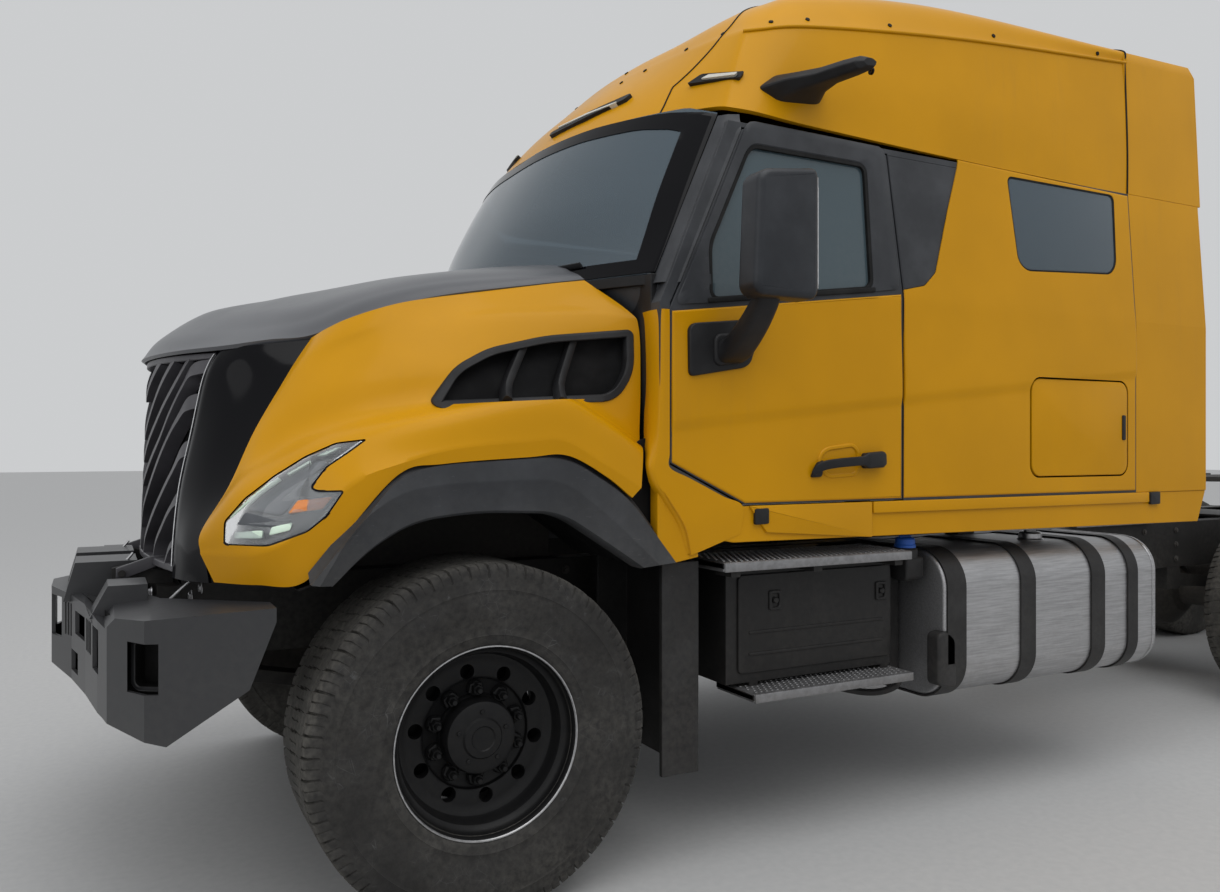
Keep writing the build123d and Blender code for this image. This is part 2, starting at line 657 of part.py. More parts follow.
FLARE_INNER = [
    (650, 1000), (500, 1062), (400, 1180), (225, 1275), (-28, 1310), (-284, 1275), (-467, 1150),
    (-575, 1062), (-700, 1000),
]
FLARE_OUTER = [
    (665, 1000), (560, 1080), (445, 1231), (195, 1400), (-94, 1437), (-291, 1430), (-374, 1407),
    (-524, 1292), (-560, 1200), (-700, 1000),
]
FLARE_LOW_Z = 1062
flare_band = side_prism(FLARE_OUTER, HALF_WIDTH - 100, HALF_WIDTH - 2)
flare_band = flare_band - side_prism(FLARE_INNER, HALF_WIDTH - 200, BEYOND)
flare_band = flare_band & block(HOOD_REAR + 2, 700, HALF_WIDTH - 220, BEYOND, FLARE_LOW_Z, 1500)
flare = (flare_band - hood_body).solids().sort_by(SortBy.VOLUME)[-1]
save([flare, flip(flare)], "fender_flares")

# Front bumper: bent steel plate, open behind and below, with two hollow towers on each side
BUMPER_WALL = 12
BUMPER_LOW_Z, BUMPER_HIGH_Z = 500, 1150
BUMPER_FRONT = [
    (500, 1273), (960, 1090), (1050, 930), (1074, 800), (1107, 550), (1150, 300), (BUMPER_NOSE, 100),
    (BUMPER_NOSE, 0),
]
BUMPER_REACH = [(950, 0), (950, 480), (900, 700), (633, 1100), (633, HALF_WIDTH), (1300, HALF_WIDTH), (1300, 0)]
BUMPER_PROFILE = [
    (600, 1027), (1030, 988), (1055, 952), (1107, 973), (1150, 974), (BUMPER_NOSE, 984),
    (BUMPER_NOSE, 716), (1150, 692), (1060, 688), (906, 647), (700, 798), (633, 985),
]
BUMPER_HOLLOW = [
    (560, 1016), (1022, 976), (1049, 939), (1107, 961), (1150, 962), (BUMPER_NOSE - BUMPER_WALL, 971),
    (BUMPER_NOSE - BUMPER_WALL, 728), (1150, 704), (1100, 702), (1100, BUMPER_LOW_Z), (560, BUMPER_LOW_Z),
]
BUMPER_TOWERS = [
    # y from, y to, front foot x, front top x, rear x, top z
    (60, 290, 1175, 1140, 950, 1079),
    (520, 700, 1095, 1045, 935, 1046),
]
BUMPER_HOLES = [
    # centre y, centre z, width, height of the openings in the front face
    (150, 886, 110, 139),
    (455, 893, 170, 76),
    (760, 868, 110, 130),
    (360, 760, 120, 70),
]
TOWER_FOOT_Z = 950
bumper_full = [(500, 0)] + BUMPER_FRONT
bumper = plan_prism(both_sides(bumper_full), BUMPER_LOW_Z, BUMPER_HIGH_Z)
bumper = bumper & plan_prism(both_sides(BUMPER_REACH), BUMPER_LOW_Z, BUMPER_HIGH_Z)
bumper = bumper & side_prism(BUMPER_PROFILE, -BEYOND, BEYOND)
bumper_hollow = plan_prism(both_sides(bumper_full), BUMPER_LOW_Z, BUMPER_HIGH_Z, -BUMPER_WALL)
bumper_hollow = bumper_hollow & side_prism(BUMPER_HOLLOW, -BEYOND, BEYOND)
bumper = bumper - bumper_hollow
for y_from, y_to, foot_x, top_x, rear_x, top_z in BUMPER_TOWERS:
    tower = side_prism(
        [(foot_x, TOWER_FOOT_Z), (top_x, top_z), (rear_x, top_z), (rear_x, TOWER_FOOT_Z)], y_from, y_to
    )
    tower_hollow = side_prism(
        [
            (foot_x - BUMPER_WALL, TOWER_FOOT_Z), (top_x - BUMPER_WALL, top_z - BUMPER_WALL),
            (rear_x - BUMPER_WALL, top_z - BUMPER_WALL), (rear_x - BUMPER_WALL, TOWER_FOOT_Z),
        ],
        y_from + BUMPER_WALL,
        y_to - BUMPER_WALL,
    )
    tower = tower - tower_hollow - bumper_hollow
    bumper = bumper + tower + flip(tower)
for centre_y, centre_z, width, height in BUMPER_HOLES:
    hole = block(
        1000, 1300, centre_y - width / 2, centre_y + width / 2, centre_z - height / 2, centre_z + height / 2
    )
    bumper = bumper - hole - flip(hole)
side_slot = block(925, 1000, 900, 1300, 790, 930)
bumper = bumper - side_slot - flip(side_slot)
save([bumper], "front_bumper")

# Frame rails, crossmembers, bumper mount with the hood hinge brackets
rail_section = [
    (RAIL_OUTER_Y, RAIL_LOW_Z),
    (RAIL_OUTER_Y, RAIL_TOP_Z),
    (RAIL_OUTER_Y - RAIL_FLANGE, RAIL_TOP_Z),
    (RAIL_OUTER_Y - RAIL_FLANGE, RAIL_TOP_Z - RAIL_WALL),
    (WEB_Y, RAIL_TOP_Z - RAIL_WALL),
    (WEB_Y, RAIL_LOW_Z + RAIL_WALL),
    (RAIL_OUTER_Y - RAIL_FLANGE, RAIL_LOW_Z + RAIL_WALL),
    (RAIL_OUTER_Y - RAIL_FLANGE, RAIL_LOW_Z),
]
rail = cross_prism(rail_section, FRAME_END, RAIL_FRONT)
save([rail, flip(rail)], "frame_rails")
CROSSMEMBER_HALF = 30
CROSSMEMBER_WALL = 20
CROSSMEMBER_STATIONS = [
    RAIL_FRONT - 60, -1300, -2300, -3300, -(WHEELBASE - 950), -WHEELBASE,
    -(WHEELBASE + TANDEM_SPACING / 2), -(WHEELBASE + TANDEM_SPACING), FRAME_END + CROSSMEMBER_HALF,
]
crossmembers = []
for x in CROSSMEMBER_STATIONS:
    channel = block(
        x - CROSSMEMBER_HALF, x + CROSSMEMBER_HALF, -WEB_Y, WEB_Y,
        RAIL_LOW_Z + RAIL_WALL, RAIL_TOP_Z - RAIL_WALL,
    )
    hollow = block(
        x - CROSSMEMBER_HALF + RAIL_WALL, x + CROSSMEMBER_HALF + RAIL_WALL,
        -(WEB_Y - RAIL_FLANGE), WEB_Y - RAIL_FLANGE,
        RAIL_LOW_Z + RAIL_WALL + CROSSMEMBER_WALL, RAIL_TOP_Z - RAIL_WALL - CROSSMEMBER_WALL,
    )
    crossmembers.append(channel - hollow)
save(crossmembers, "crossmembers")
MOUNT_FRONT = 895
BUMPER_ARM = [(MOUNT_FRONT, 720), (1200, 760), (1200, 930), (MOUNT_FRONT, 930)]
bumper_mount = block(RAIL_FRONT, MOUNT_FRONT, -RAIL_OUTER_Y, RAIL_OUTER_Y, 700, 1000)
bumper_arm = side_prism(BUMPER_ARM, 228, 258) & bumper_hollow.moved(Location((-SEAT_GAP, 0, 0)))
bumper_mount = bumper_mount + bumper_arm + flip(bumper_arm)
HINGE_BRACKET = [(840, 1000), (MOUNT_FRONT, 1000), (1030, 1020), (1030, 1060), (980, 1070), (840, 1040)]
hinge_bracket = side_prism(HINGE_BRACKET, HOOD_HINGE_Y - 20, HOOD_HINGE_Y + 20)
hinge_bracket = hinge_bracket + cross_rod(
    HOOD_HINGE_X, HOOD_HINGE_Z, HOOD_HINGE_Y + 20, HOOD_HINGE_Y + 55, HOOD_PIN_R
)
save([bumper_mount, hinge_bracket, flip(hinge_bracket)], "bumper_mount")
engine = block(-590, 640, -330, 330, 640, 1700)
for x in (-200, 350):
    engine = engine + block(x - 50, x + 50, -WEB_Y, WEB_Y, 800, 860)
save([engine], "engine_block")
DECK_REAR = -(WHEELBASE - 750)
DECK_LENGTH = 680
deck_plate = block(DECK_REAR, DECK_REAR + DECK_LENGTH, -460, 460, RAIL_TOP_Z, RAIL_TOP_Z + 12)
save([deck_plate], "deck_plate")


# Wheels
def tyre(radius, width, x, centre_y):
    """Closed tyre ring between its beads, with rounded shoulders."""
    half = [
        # radius, distance in from the tyre's side
        (BEAD_R, 45), (RIM_FLANGE_R + 12, 22), (radius * 0.75, 0),
        (radius - 55, 8), (radius - 14, 32), (radius, 75),
    ]
    inner = [(r, centre_y - width / 2 + inset) for r, inset in half]
    outer = [(r, centre_y + width / 2 - inset) for r, inset in reversed(half)]
    return turned(inner + outer, x, radius)


def rim(x, wheel_r, inner_y, outer_y):
    """Steel rim: barrel with a drop centre between its two flanges."""
    drop = BARREL_INNER_R + 5
    outside = [
        (RIM_FLANGE_R, 0), (RIM_FLANGE_R, 8), (BEAD_R, 14), (BEAD_R - SEAT_GAP, 60), (drop, 90),
    ]
    inside = [(BEAD_R - 6, 6), (BARREL_INNER_R - 5, 90)]
    profile = [(r, inner_y + s) for r, s in outside] + [(r, outer_y - s) for r, s in reversed(outside)]
    profile += [(r, outer_y - s) for r, s in inside] + [(r, inner_y + s) for r, s in reversed(inside)]
    return turned(profile, x, wheel_r)


def wheel_disc(x, wheel_r, rim_y, hub_y):
    """Dished disc from the barrel to the hub face, with its ring of hand holes."""
    side = 1 if hub_y > rim_y else -1
    bore = SPINDLE_R + SEAT_GAP
    profile = [
        (BARREL_INNER_R + 4, rim_y), (215, rim_y + side * 20), (180, hub_y), (bore, hub_y),
        (bore, hub_y - side * DISC_THICKNESS), (175, hub_y - side * DISC_THICKNESS), (205, rim_y + side * 4),
        (BARREL_INNER_R + 4, rim_y - side * DISC_THICKNESS),
    ]
    disc = turned(profile, x, wheel_r)
    with BuildPart() as holes:
        with BuildSketch(Plane.XZ.offset(-BEYOND)):
            with Locations((station(x), wheel_r)):
                with PolarLocations(HAND_HOLE_CIRCLE_R, HAND_HOLES):
                    Circle(HAND_HOLE_R)
        extrude(amount=BEYOND)
    return disc - holes.part


def hub(x, wheel_r, y_in, y_out, cap_y, bore_end_y):
    """Hub drum with a blind bore for its spindle and a stepped cap outside."""
    bore = SPINDLE_R + SEAT_GAP
    profile = [
        (bore, y_in), (150, y_in), (150, y_out - 30), (HUB_R, y_out), (HUB_R - 20, cap_y - 20), (80, cap_y),
        (0, cap_y), (0, bore_end_y), (bore, bore_end_y),
    ]
    return turned(profile, x, wheel_r)


FRONT_RIM_INNER_Y = 822
FRONT_RIM_OUTER_Y = 1200
front_tyre = tyre(FRONT_TYRE_R, FRONT_TYRE_WIDTH, 0, FRONT_WHEEL_Y)
front_wheel = rim(0, FRONT_TYRE_R, FRONT_RIM_INNER_Y, FRONT_RIM_OUTER_Y)
front_wheel = front_wheel + wheel_disc(0, FRONT_TYRE_R, 1040, 1085)
front_wheel = front_wheel + hub(0, FRONT_TYRE_R, 960, 1072, 1150, 1050)
save([front_tyre], "front_tyre_left")
save([flip(front_tyre)], "front_tyre_right")
save([front_wheel], "front_rim_left")
save([flip(front_wheel)], "front_rim_right")

DUAL_RIM_HALF = 116
for name, x in DRIVE_AXLES.items():
    tyres = [tyre(DRIVE_TYRE_R, DRIVE_TYRE_WIDTH, x, y) for y in (DUAL_OUTER_Y, DUAL_INNER_Y)]
    dual = hub(x, DRIVE_TYRE_R, 700, 1000, 1060, 940)
    for y in (DUAL_OUTER_Y, DUAL_INNER_Y):
        dual = dual + rim(x, DRIVE_TYRE_R, y - DUAL_RIM_HALF, y + DUAL_RIM_HALF)
    dual = dual + wheel_disc(x, DRIVE_TYRE_R, DUAL_OUTER_Y - 70, 920)
    dual = dual + wheel_disc(x, DRIVE_TYRE_R, DUAL_INNER_Y + 70, 906)
    save(tyres, f"{name}_tyres_left")
    save([flip(tyre_ring) for tyre_ring in tyres], f"{name}_tyres_right")
    save([dual], f"{name}_rims_left")
    save([flip(dual)], f"{name}_rims_right")

# Front axle beam, knuckles and tie rod
beam_top = FRONT_TYRE_R + BEAM_HEIGHT / 2
beam_low = FRONT_TYRE_R - BEAM_HEIGHT / 2
beam_outline = [
    (KINGPIN_Y, beam_low), (KINGPIN_Y, beam_top), (740, beam_top), (560, beam_top - BEAM_DROP),
    (-560, beam_top - BEAM_DROP), (-740, beam_top), (-KINGPIN_Y, beam_top), (-KINGPIN_Y, beam_low),
    (-760, beam_low), (-580, beam_low - BEAM_DROP), (580, beam_low - BEAM_DROP), (760, beam_low),
]
beam = cross_prism(beam_outline, -BEAM_DEPTH / 2, BEAM_DEPTH / 2)
for side in (1, -1):
    beam = beam + upright_rod(0, side * KINGPIN_Y, beam_low, beam_top, KINGPIN_EYE_R)
    beam = beam - upright_rod(0, side * KINGPIN_Y, beam_low, beam_top, KINGPIN_R + SEAT_GAP)
save([beam], "front_axle")

ear_top = beam_top + RUNNING_GAP
ear_low = beam_low - RUNNING_GAP
arm_z = ear_low - KNUCKLE_EAR
yoke_y = KINGPIN_Y + KINGPIN_EYE_R + RUNNING_GAP
YOKE_PLATE = 26
BRAKE_R = 195
SPINDLE_END_Y = 1049
knuckle = upright_rod(0, KINGPIN_Y, arm_z, ear_top + KNUCKLE_EAR, KINGPIN_R)
for z in (ear_top, arm_z):
    knuckle = knuckle + upright_rod(0, KINGPIN_Y, z, z + KNUCKLE_EAR, KINGPIN_EYE_R)
    knuckle = knuckle + block(-KINGPIN_EYE_R, KINGPIN_EYE_R, KINGPIN_Y, yoke_y, z, z + KNUCKLE_EAR)
knuckle = knuckle + block(
    -KINGPIN_EYE_R, KINGPIN_EYE_R, yoke_y, yoke_y + YOKE_PLATE, arm_z, ear_top + KNUCKLE_EAR
)
knuckle = knuckle + cross_rod(0, FRONT_TYRE_R, yoke_y + YOKE_PLATE - 10, yoke_y + YOKE_PLATE, BRAKE_R)
knuckle = knuckle + cross_rod(0, FRONT_TYRE_R, yoke_y + YOKE_PLATE, SPINDLE_END_Y, SPINDLE_R)
knuckle = knuckle + block(-STEER_ARM - 20, 0, KINGPIN_Y - 25, KINGPIN_Y + 25, arm_z, arm_z + YOKE_PLATE)
knuckle = knuckle + upright_rod(-STEER_ARM, KINGPIN_Y, arm_z - 56, arm_z, TIE_ROD_PIN_R)
save([knuckle], "knuckle_left")
save([flip(knuckle)], "knuckle_right")
tie_z = arm_z - 30
tie_rod = cross_rod(-STEER_ARM, tie_z, -KINGPIN_Y + 20, KINGPIN_Y - 20, TIE_ROD_R)
for side in (1, -1):
    tie_rod = tie_rod + upright_rod(-STEER_ARM, side * KINGPIN_Y, tie_z - 24, tie_z + 24, 28)
    tie_rod = tie_rod - upright_rod(
        -STEER_ARM, side * KINGPIN_Y, tie_z - 24, tie_z + 24, TIE_ROD_PIN_R + SEAT_GAP
    )
save([tie_rod], "tie_rod")

# Front leaf springs between axle pads and rail hangers
LEAF_PATH = [(-720, 700), (-300, 612), (0, 590), (300, 612), (720, 700)]
LEAF_THICKNESS = 44
with BuildPart() as leaf:
    with BuildSketch(Plane.XZ.offset(-(SPRING_Y + SPRING_WIDTH / 2))):
        with BuildLine():
            Polyline(*[(station(x), z) for x, z in LEAF_PATH])
        trace(line_width=LEAF_THICKNESS)
    extrude(amount=SPRING_WIDTH)
spring = leaf.part + block(
    -70, 70, SPRING_Y - SPRING_WIDTH / 2, SPRING_Y + SPRING_WIDTH / 2, beam_top - BEAM_DROP, 580
)
for x in (-700, 700):
    spring = spring + block(x - 40, x + 40, SPRING_Y - 40, SPRING_Y + 24, 690, RAIL_LOW_Z)
suspension = [spring, flip(spring)]

# Drive axles with their round housings, and trailing arms, hangers and air springs beside them
AXLE_TUBE_R = 70
DIFFERENTIAL = [(0, -190), (120, -170), (210, -90), (225, 0), (210, 90), (120, 170), (0, 190)]
axles = []
for x in DRIVE_AXLES.values():
    tube = cross_rod(x, DRIVE_TYRE_R, -690, 690, AXLE_TUBE_R)
    spindle = cross_rod(x, DRIVE_TYRE_R, -939, 939, SPINDLE_R)
    axles.append(tube + spindle + turned(DIFFERENTIAL, x, DRIVE_TYRE_R))
    arm = side_prism(
        [
            (x + 520, 640), (x + 520, 720), (x + 60, 660), (x - 60, 640), (x - 420, 560), (x - 420, 510),
            (x - 60, 600), (x + 60, 600),
        ],
        345,
        425,
    )
    hanger = block(x + 460, x + 580, 335, RAIL_OUTER_Y, 620, RAIL_LOW_Z)
    air_spring = upright_rod(x - 330, 385, 560, RAIL_LOW_Z, 100)
    piece = arm + hanger + air_spring - cross_rod(x, DRIVE_TYRE_R, 300, 460, AXLE_TUBE_R)
    suspension.extend([piece, flip(piece)])
save(axles, "drive_axles")
save(suspension, "suspension")

# Fifth wheel: brackets on the rails and tilting plate with its throat
bracket = side_prism(
    [
        (FIFTH_WHEEL_X - 190, RAIL_TOP_Z), (FIFTH_WHEEL_X + 190, RAIL_TOP_Z),
        (FIFTH_WHEEL_X + 40, FIFTH_WHEEL_PIVOT_Z + 20), (FIFTH_WHEEL_X - 40, FIFTH_WHEEL_PIVOT_Z + 20),
    ],
    340,
    420,
)
bracket = bracket + cross_rod(FIFTH_WHEEL_X, FIFTH_WHEEL_PIVOT_Z, 340, 420, BRACKET_R)
bracket = bracket + cross_rod(FIFTH_WHEEL_X, FIFTH_WHEEL_PIVOT_Z, 250, 340, PIVOT_R)
fifth_base = block(
    FIFTH_WHEEL_X - 260, FIFTH_WHEEL_X + 260, -RAIL_OUTER_Y, RAIL_OUTER_Y, RAIL_TOP_Z, RAIL_TOP_Z + 14
)
save([fifth_base + bracket + flip(bracket)], "fifth_wheel_base")
FIFTH_WHEEL_PLAN = [
    # x from the kingpin, y of the left half, from the front centre to the throat
    (FIFTH_WHEEL_REACH, 0), (FIFTH_WHEEL_REACH, 300), (300, FIFTH_WHEEL_HALF_WIDTH),
    (-150, FIFTH_WHEEL_HALF_WIDTH), (-FIFTH_WHEEL_REACH, 260), (-FIFTH_WHEEL_REACH, 170),
    (-60, KINGPIN_JAW_R), (0, KINGPIN_JAW_R), (0, 0),
]
plate_low_z = FIFTH_WHEEL_TOP_Z - FIFTH_WHEEL_PLATE
plate = plan_prism(
    both_sides([(FIFTH_WHEEL_X + x, y) for x, y in FIFTH_WHEEL_PLAN]), plate_low_z, FIFTH_WHEEL_TOP_Z
)
plate = plate - upright_rod(FIFTH_WHEEL_X, 0, plate_low_z - 10, FIFTH_WHEEL_TOP_Z + 10, KINGPIN_JAW_R)
ear = side_prism(
    [
        (FIFTH_WHEEL_X - 90, plate_low_z), (FIFTH_WHEEL_X + 90, plate_low_z),
        (FIFTH_WHEEL_X + 50, FIFTH_WHEEL_PIVOT_Z), (FIFTH_WHEEL_X - 50, FIFTH_WHEEL_PIVOT_Z),
    ],
    255,
    334,
)
ear = ear + cross_rod(FIFTH_WHEEL_X, FIFTH_WHEEL_PIVOT_Z, 255, 334, 50)
ear = ear - cross_rod(FIFTH_WHEEL_X, FIFTH_WHEEL_PIVOT_Z, 200, 400, PIVOT_R + SEAT_GAP)
save([plate + ear + flip(ear)], "fifth_wheel")

# Step box with its two steps, fuel tank, fluid tank and straps
STEP_BOX_PARTS = [
    # x from, x to, y from, y to, z from, z to
    (-1750, -955, 620, 1090, 600, 1040),
    (-1760, -870, 900, 1200, 1040, 1062),
    (-1768, -1000, 960, 1200, 562, 584),
    (-1740, -1700, 900, 1090, 575, 605),
    (-1100, -1060, 900, 1090, 575, 605),
    (-1100, -1000, RAIL_OUTER_Y, 620, 800, 900),
    (-1700, -1600, RAIL_OUTER_Y, 620, 800, 900),
]
step_box = block(*STEP_BOX_PARTS[0])
for row in STEP_BOX_PARTS[1:]:
    step_box = step_box + block(*row)
save([step_box, flip(step_box)], "step_boxes")


def tank_solid(x_from, x_to, grow):
    """Length of the D-shaped tank section, grown outwards by a margin."""
    with BuildPart() as tank:
        with BuildSketch(Plane.YZ.offset(station(x_from))):
            with Locations(((TANK_INNER_Y + TANK_OUTER_Y) / 2, (TANK_BOTTOM_Z + TANK_TOP_Z) / 2)):
                RectangleRounded(
                    TANK_OUTER_Y - TANK_INNER_Y + 2 * grow,
                    TANK_TOP_Z - TANK_BOTTOM_Z + 2 * grow,
                    TANK_ROUND + grow,
                )
        extrude(amount=x_to - x_from)
    return tank.part


fuel_cap = upright_rod(-2680, 1000, TANK_TOP_Z - 5, TANK_TOP_Z + 40, 50)
fluid_cap = upright_rod(-1840, 1080, TANK_TOP_Z - 30, TANK_TOP_Z + 45, 42)
fuel_tank = tank_solid(TANK_REAR, TANK_FRONT, 0) + fuel_cap
fluid_tank = tank_solid(TANK_FRONT, FLUID_TANK_FRONT, 0) + fluid_cap
save([fuel_tank, flip(fuel_tank), fluid_tank, flip(fluid_tank)], "fuel_tanks")
STRAPS = [(-2040, TANK_FRONT - 5), (-2450, -2360), (-2900, -2810), (TANK_REAR + 150, TANK_REAR + 220)]
straps = []
for x_from, x_to in STRAPS:
    strap = tank_solid(x_from, x_to, STRAP_THICKNESS) - tank_solid(x_from, x_to, 0)
    strap = strap + block(x_from, x_to, RAIL_OUTER_Y, TANK_INNER_Y - 4, 780, 900)
    straps.extend([strap, flip(strap)])
save(straps, "tank_straps")

# Rear fender pieces of the cab, mudguards behind the front tyres, tail bar, flaps and lamps
FENDER_TAIL = [(-597, 1357), (-650, 1305), (-732, 1217), (-761, 1092), (-664, 1076), (-597, 1076)]
fender_tail = side_prism(FENDER_TAIL, INNER_Y, HALF_WIDTH - 10)
save([fender_tail, flip(fender_tail)], "rear_fenders")
mudguard = block(-800, -650, 640, 1150, 330, 1070) - block(-780, -600, 660, 1130, 300, 1100)
mudguard = mudguard + block(-800, -780, RAIL_OUTER_Y, 640, 780, 860)
TAIL_BAR_X = DRIVE_AXLES["drive2"] - DRIVE_TYRE_R - 90
LAMP_X = FRAME_END + 40
tail_bar = block(TAIL_BAR_X - 40, TAIL_BAR_X, RAIL_OUTER_Y, HALF_WIDTH - 20, 940, 980)
flap = block(TAIL_BAR_X - 32, TAIL_BAR_X - 20, 640, HALF_WIDTH - 10, 280, 940)
lamp = block(LAMP_X - 40, LAMP_X, 440, 640, 820, 920)
lamp = lamp + block(LAMP_X - 30, LAMP_X - 10, RAIL_OUTER_Y, 440, 850, 890)
tail_piece = tail_bar + flap
save([mudguard, flip(mudguard), tail_piece, flip(tail_piece)], "mudguards")
save([lamp, flip(lamp)], "tail_lamps")

# Inside the cab: dashboard with steering wheel, seats, bunk
dash_front = CAB_FRONT - WALL - SEAT_GAP
dashboard = side_prism(
    [(dash_front, 2020), (-800, 2010), (-960, 1900), (-980, 1760), (-900, 1600), (dash_front, 1560)],
    -(INNER_Y - 10),
    INNER_Y - 10,
)
STEERING_X, STEERING_Y, STEERING_Z = -1080, 560, 1880
STEERING_TILT = 30
STEERING_R = 225
steering_centre = (station(STEERING_X), STEERING_Y, STEERING_Z)
with BuildPart() as wheel_ring:
    with BuildSketch(Plane.XZ.offset(-STEERING_Y)):
        with Locations((station(STEERING_X) + STEERING_R, STEERING_Z)):
            Circle(18)
    revolve(axis=Axis(steering_centre, (0, 0, 1)))
spoke = block(
    STEERING_X - STEERING_R + 15, STEERING_X + STEERING_R - 15, STEERING_Y - 30, STEERING_Y + 30,
    STEERING_Z - 10, STEERING_Z + 10,
)
steering_wheel = (wheel_ring.part + spoke).rotate(Axis(steering_centre, (0, 1, 0)), STEERING_TILT)
column_direction = (sin(radians(STEERING_TILT)), 0, cos(radians(STEERING_TILT)))
with BuildPart() as column:
    with BuildSketch(Plane(origin=steering_centre, z_dir=column_direction)):
        Circle(45)
    extrude(amount=-150)
save([dashboard + column.part + steering_wheel], "dashboard")
SEAT_OUTLINE = [(-1260, 1560), (-1260, 1720), (-1780, 1690), (-1880, 2420), (-1980, 2420), (-1900, 1560)]
seat = side_prism(SEAT_OUTLINE, 330, 830)
seat = seat + block(-1800, -1350, 400, 760, CAB_BOTTOM_Z + FLOOR_THICKNESS, 1560)
save([seat, flip(seat)], "seats")
bunk = block(CAB_REAR + WALL, -2320, -(INNER_Y - 10), INNER_Y - 10, 1800, 1990)
save([bunk], "bunk")

# Camera arms on the roof sides
CAMERA_ARM = [
    # y beyond the cab's top width, centre x, centre z, length, height
    (-60, -1195, 2780, 250, 90),
    (45, -1215, 2795, 200, 62),
    (250, -1305, 2812, 110, 52),
]
with BuildPart() as camera_boom:
    for beyond, x, z, length, height in CAMERA_ARM:
        with BuildSketch(Plane.XZ.offset(-(TOP_HALF_WIDTH + beyond))):
            with Locations((station(x), z)):
                RectangleRounded(length, height, 16)
    loft(ruled=True)
camera = (camera_boom.part - roof_outer).solids().sort_by(SortBy.VOLUME)[-1]
save([camera, flip(camera)], "camera_arms")
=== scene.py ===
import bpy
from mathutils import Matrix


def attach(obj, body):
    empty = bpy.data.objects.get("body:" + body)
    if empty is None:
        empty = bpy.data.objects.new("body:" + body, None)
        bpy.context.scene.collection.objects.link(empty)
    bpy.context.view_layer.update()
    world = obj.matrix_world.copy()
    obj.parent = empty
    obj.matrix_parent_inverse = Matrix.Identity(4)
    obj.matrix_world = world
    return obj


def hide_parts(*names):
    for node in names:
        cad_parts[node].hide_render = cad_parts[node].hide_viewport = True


bl_info = {
    "name": "Sleeper tractor unit",
    "version": (1, 0, 0),
    "blender": (4, 5, 0),
    "location": "View3D > Sidebar > Tractor",
    "description": "Dresses a bonneted sleeper tractor unit around its packed frame",
    "category": "Object",
}

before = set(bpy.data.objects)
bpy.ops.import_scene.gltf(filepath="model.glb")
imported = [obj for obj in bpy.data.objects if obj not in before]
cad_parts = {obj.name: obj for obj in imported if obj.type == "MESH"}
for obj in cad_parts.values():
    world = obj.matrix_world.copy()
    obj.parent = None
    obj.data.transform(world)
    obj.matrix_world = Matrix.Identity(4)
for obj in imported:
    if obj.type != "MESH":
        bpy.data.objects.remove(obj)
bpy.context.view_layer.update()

import math

import bpy
import numpy as np
from mathutils import Vector
from bpy.props import FloatProperty, FloatVectorProperty, IntProperty, PointerProperty

AXLE_X = 3.0975
HALF_WIDTH = 1.22
DOOR_BODY = {"left": "cab_door_left", "right": "cab_door_right"}


# Shapes: a shape is a pair of corner positions and a list of face arrays, with x from the front axle
def curve_weights(count, at, creases=()):
    """Weights of a cubic through count points at the parameters given.

    Between two neighbours the curve is the Catmull-Rom cubic; at an end or a crease the missing
    neighbour is the mirror of the point after it, so the curve may turn there.
    """
    span = np.clip(at.astype(int), 0, count - 2)
    f = at - span
    w = np.stack([-f + 2 * f**2 - f**3, 2 - 5 * f**2 + 3 * f**3, f + 4 * f**2 - 3 * f**3, f**3 - f**2]) / 2
    rows = np.arange(len(at))
    stops = [0, count - 1, *creases]
    start, stop = np.isin(span, stops), np.isin(span + 1, stops)
    m = np.zeros((len(at), count))
    np.add.at(m, (rows, span), w[1] + 2 * w[0] * start - w[3] * stop)
    np.add.at(m, (rows, span + 1), w[2] - w[0] * start + 2 * w[3] * stop)
    np.add.at(m, (rows[~start], span[~start] - 1), w[0][~start])
    np.add.at(m, (rows[~stop], span[~stop] + 2), w[3][~stop])
    return m


def net(points, rows, cols, row_creases=(), col_creases=(), row_to=None, col_to=None):
    """Grid of points on the surface that passes through a net of control points, cubic both ways."""
    points = np.asarray(points, float)
    u = np.linspace(0, row_to or points.shape[0] - 1, rows)
    v = np.linspace(0, col_to or points.shape[1] - 1, cols)
    across = curve_weights(points.shape[0], u, row_creases)
    along = curve_weights(points.shape[1], v, col_creases)
    return np.einsum("ir,rcd,jc->ijd", across, points, along)


def line(points, count, creases=()):
    """Points along the cubic that passes through the points given."""
    points = np.asarray(points, float)
    return curve_weights(len(points), np.linspace(0, len(points) - 1, count), creases) @ points


def grid(points, wrap_rows=False, wrap_cols=False, turn=False):
    """Shape of a grid of points: one four-sided face for each cell, wrapped round where asked."""
    rows, cols = points.shape[:2]
    i = np.arange(rows - (not wrap_rows))[:, None]
    j = np.arange(cols - (not wrap_cols))[None, :]
    below, right = (i + 1) % rows, (j + 1) % cols
    faces = np.stack([i * cols + j, i * cols + right, below * cols + right, below * cols + j], -1).reshape(-1, 4)
    return points.reshape(-1, 3), [faces[:, ::-1] if turn else faces]


def join(*shapes):
    """One shape from several, their corner numbers moved up in turn."""
    starts = np.cumsum([0] + [len(v) for v, _ in shapes])
    faces = [f + s for (_, fs), s in zip(shapes, starts) for f in fs]
    return np.concatenate([v for v, _ in shapes]), faces


def mirror(shape):
    """The shape reflected across the middle plane, its faces turned to point outwards again."""
    return shape[0] * (1, -1, 1), [f[:, ::-1] for f in shape[1]]


def both(shape):
    """The shape and its reflection."""
    return join(shape, mirror(shape))


SIDES = (("left", lambda shape: shape), ("right", mirror))


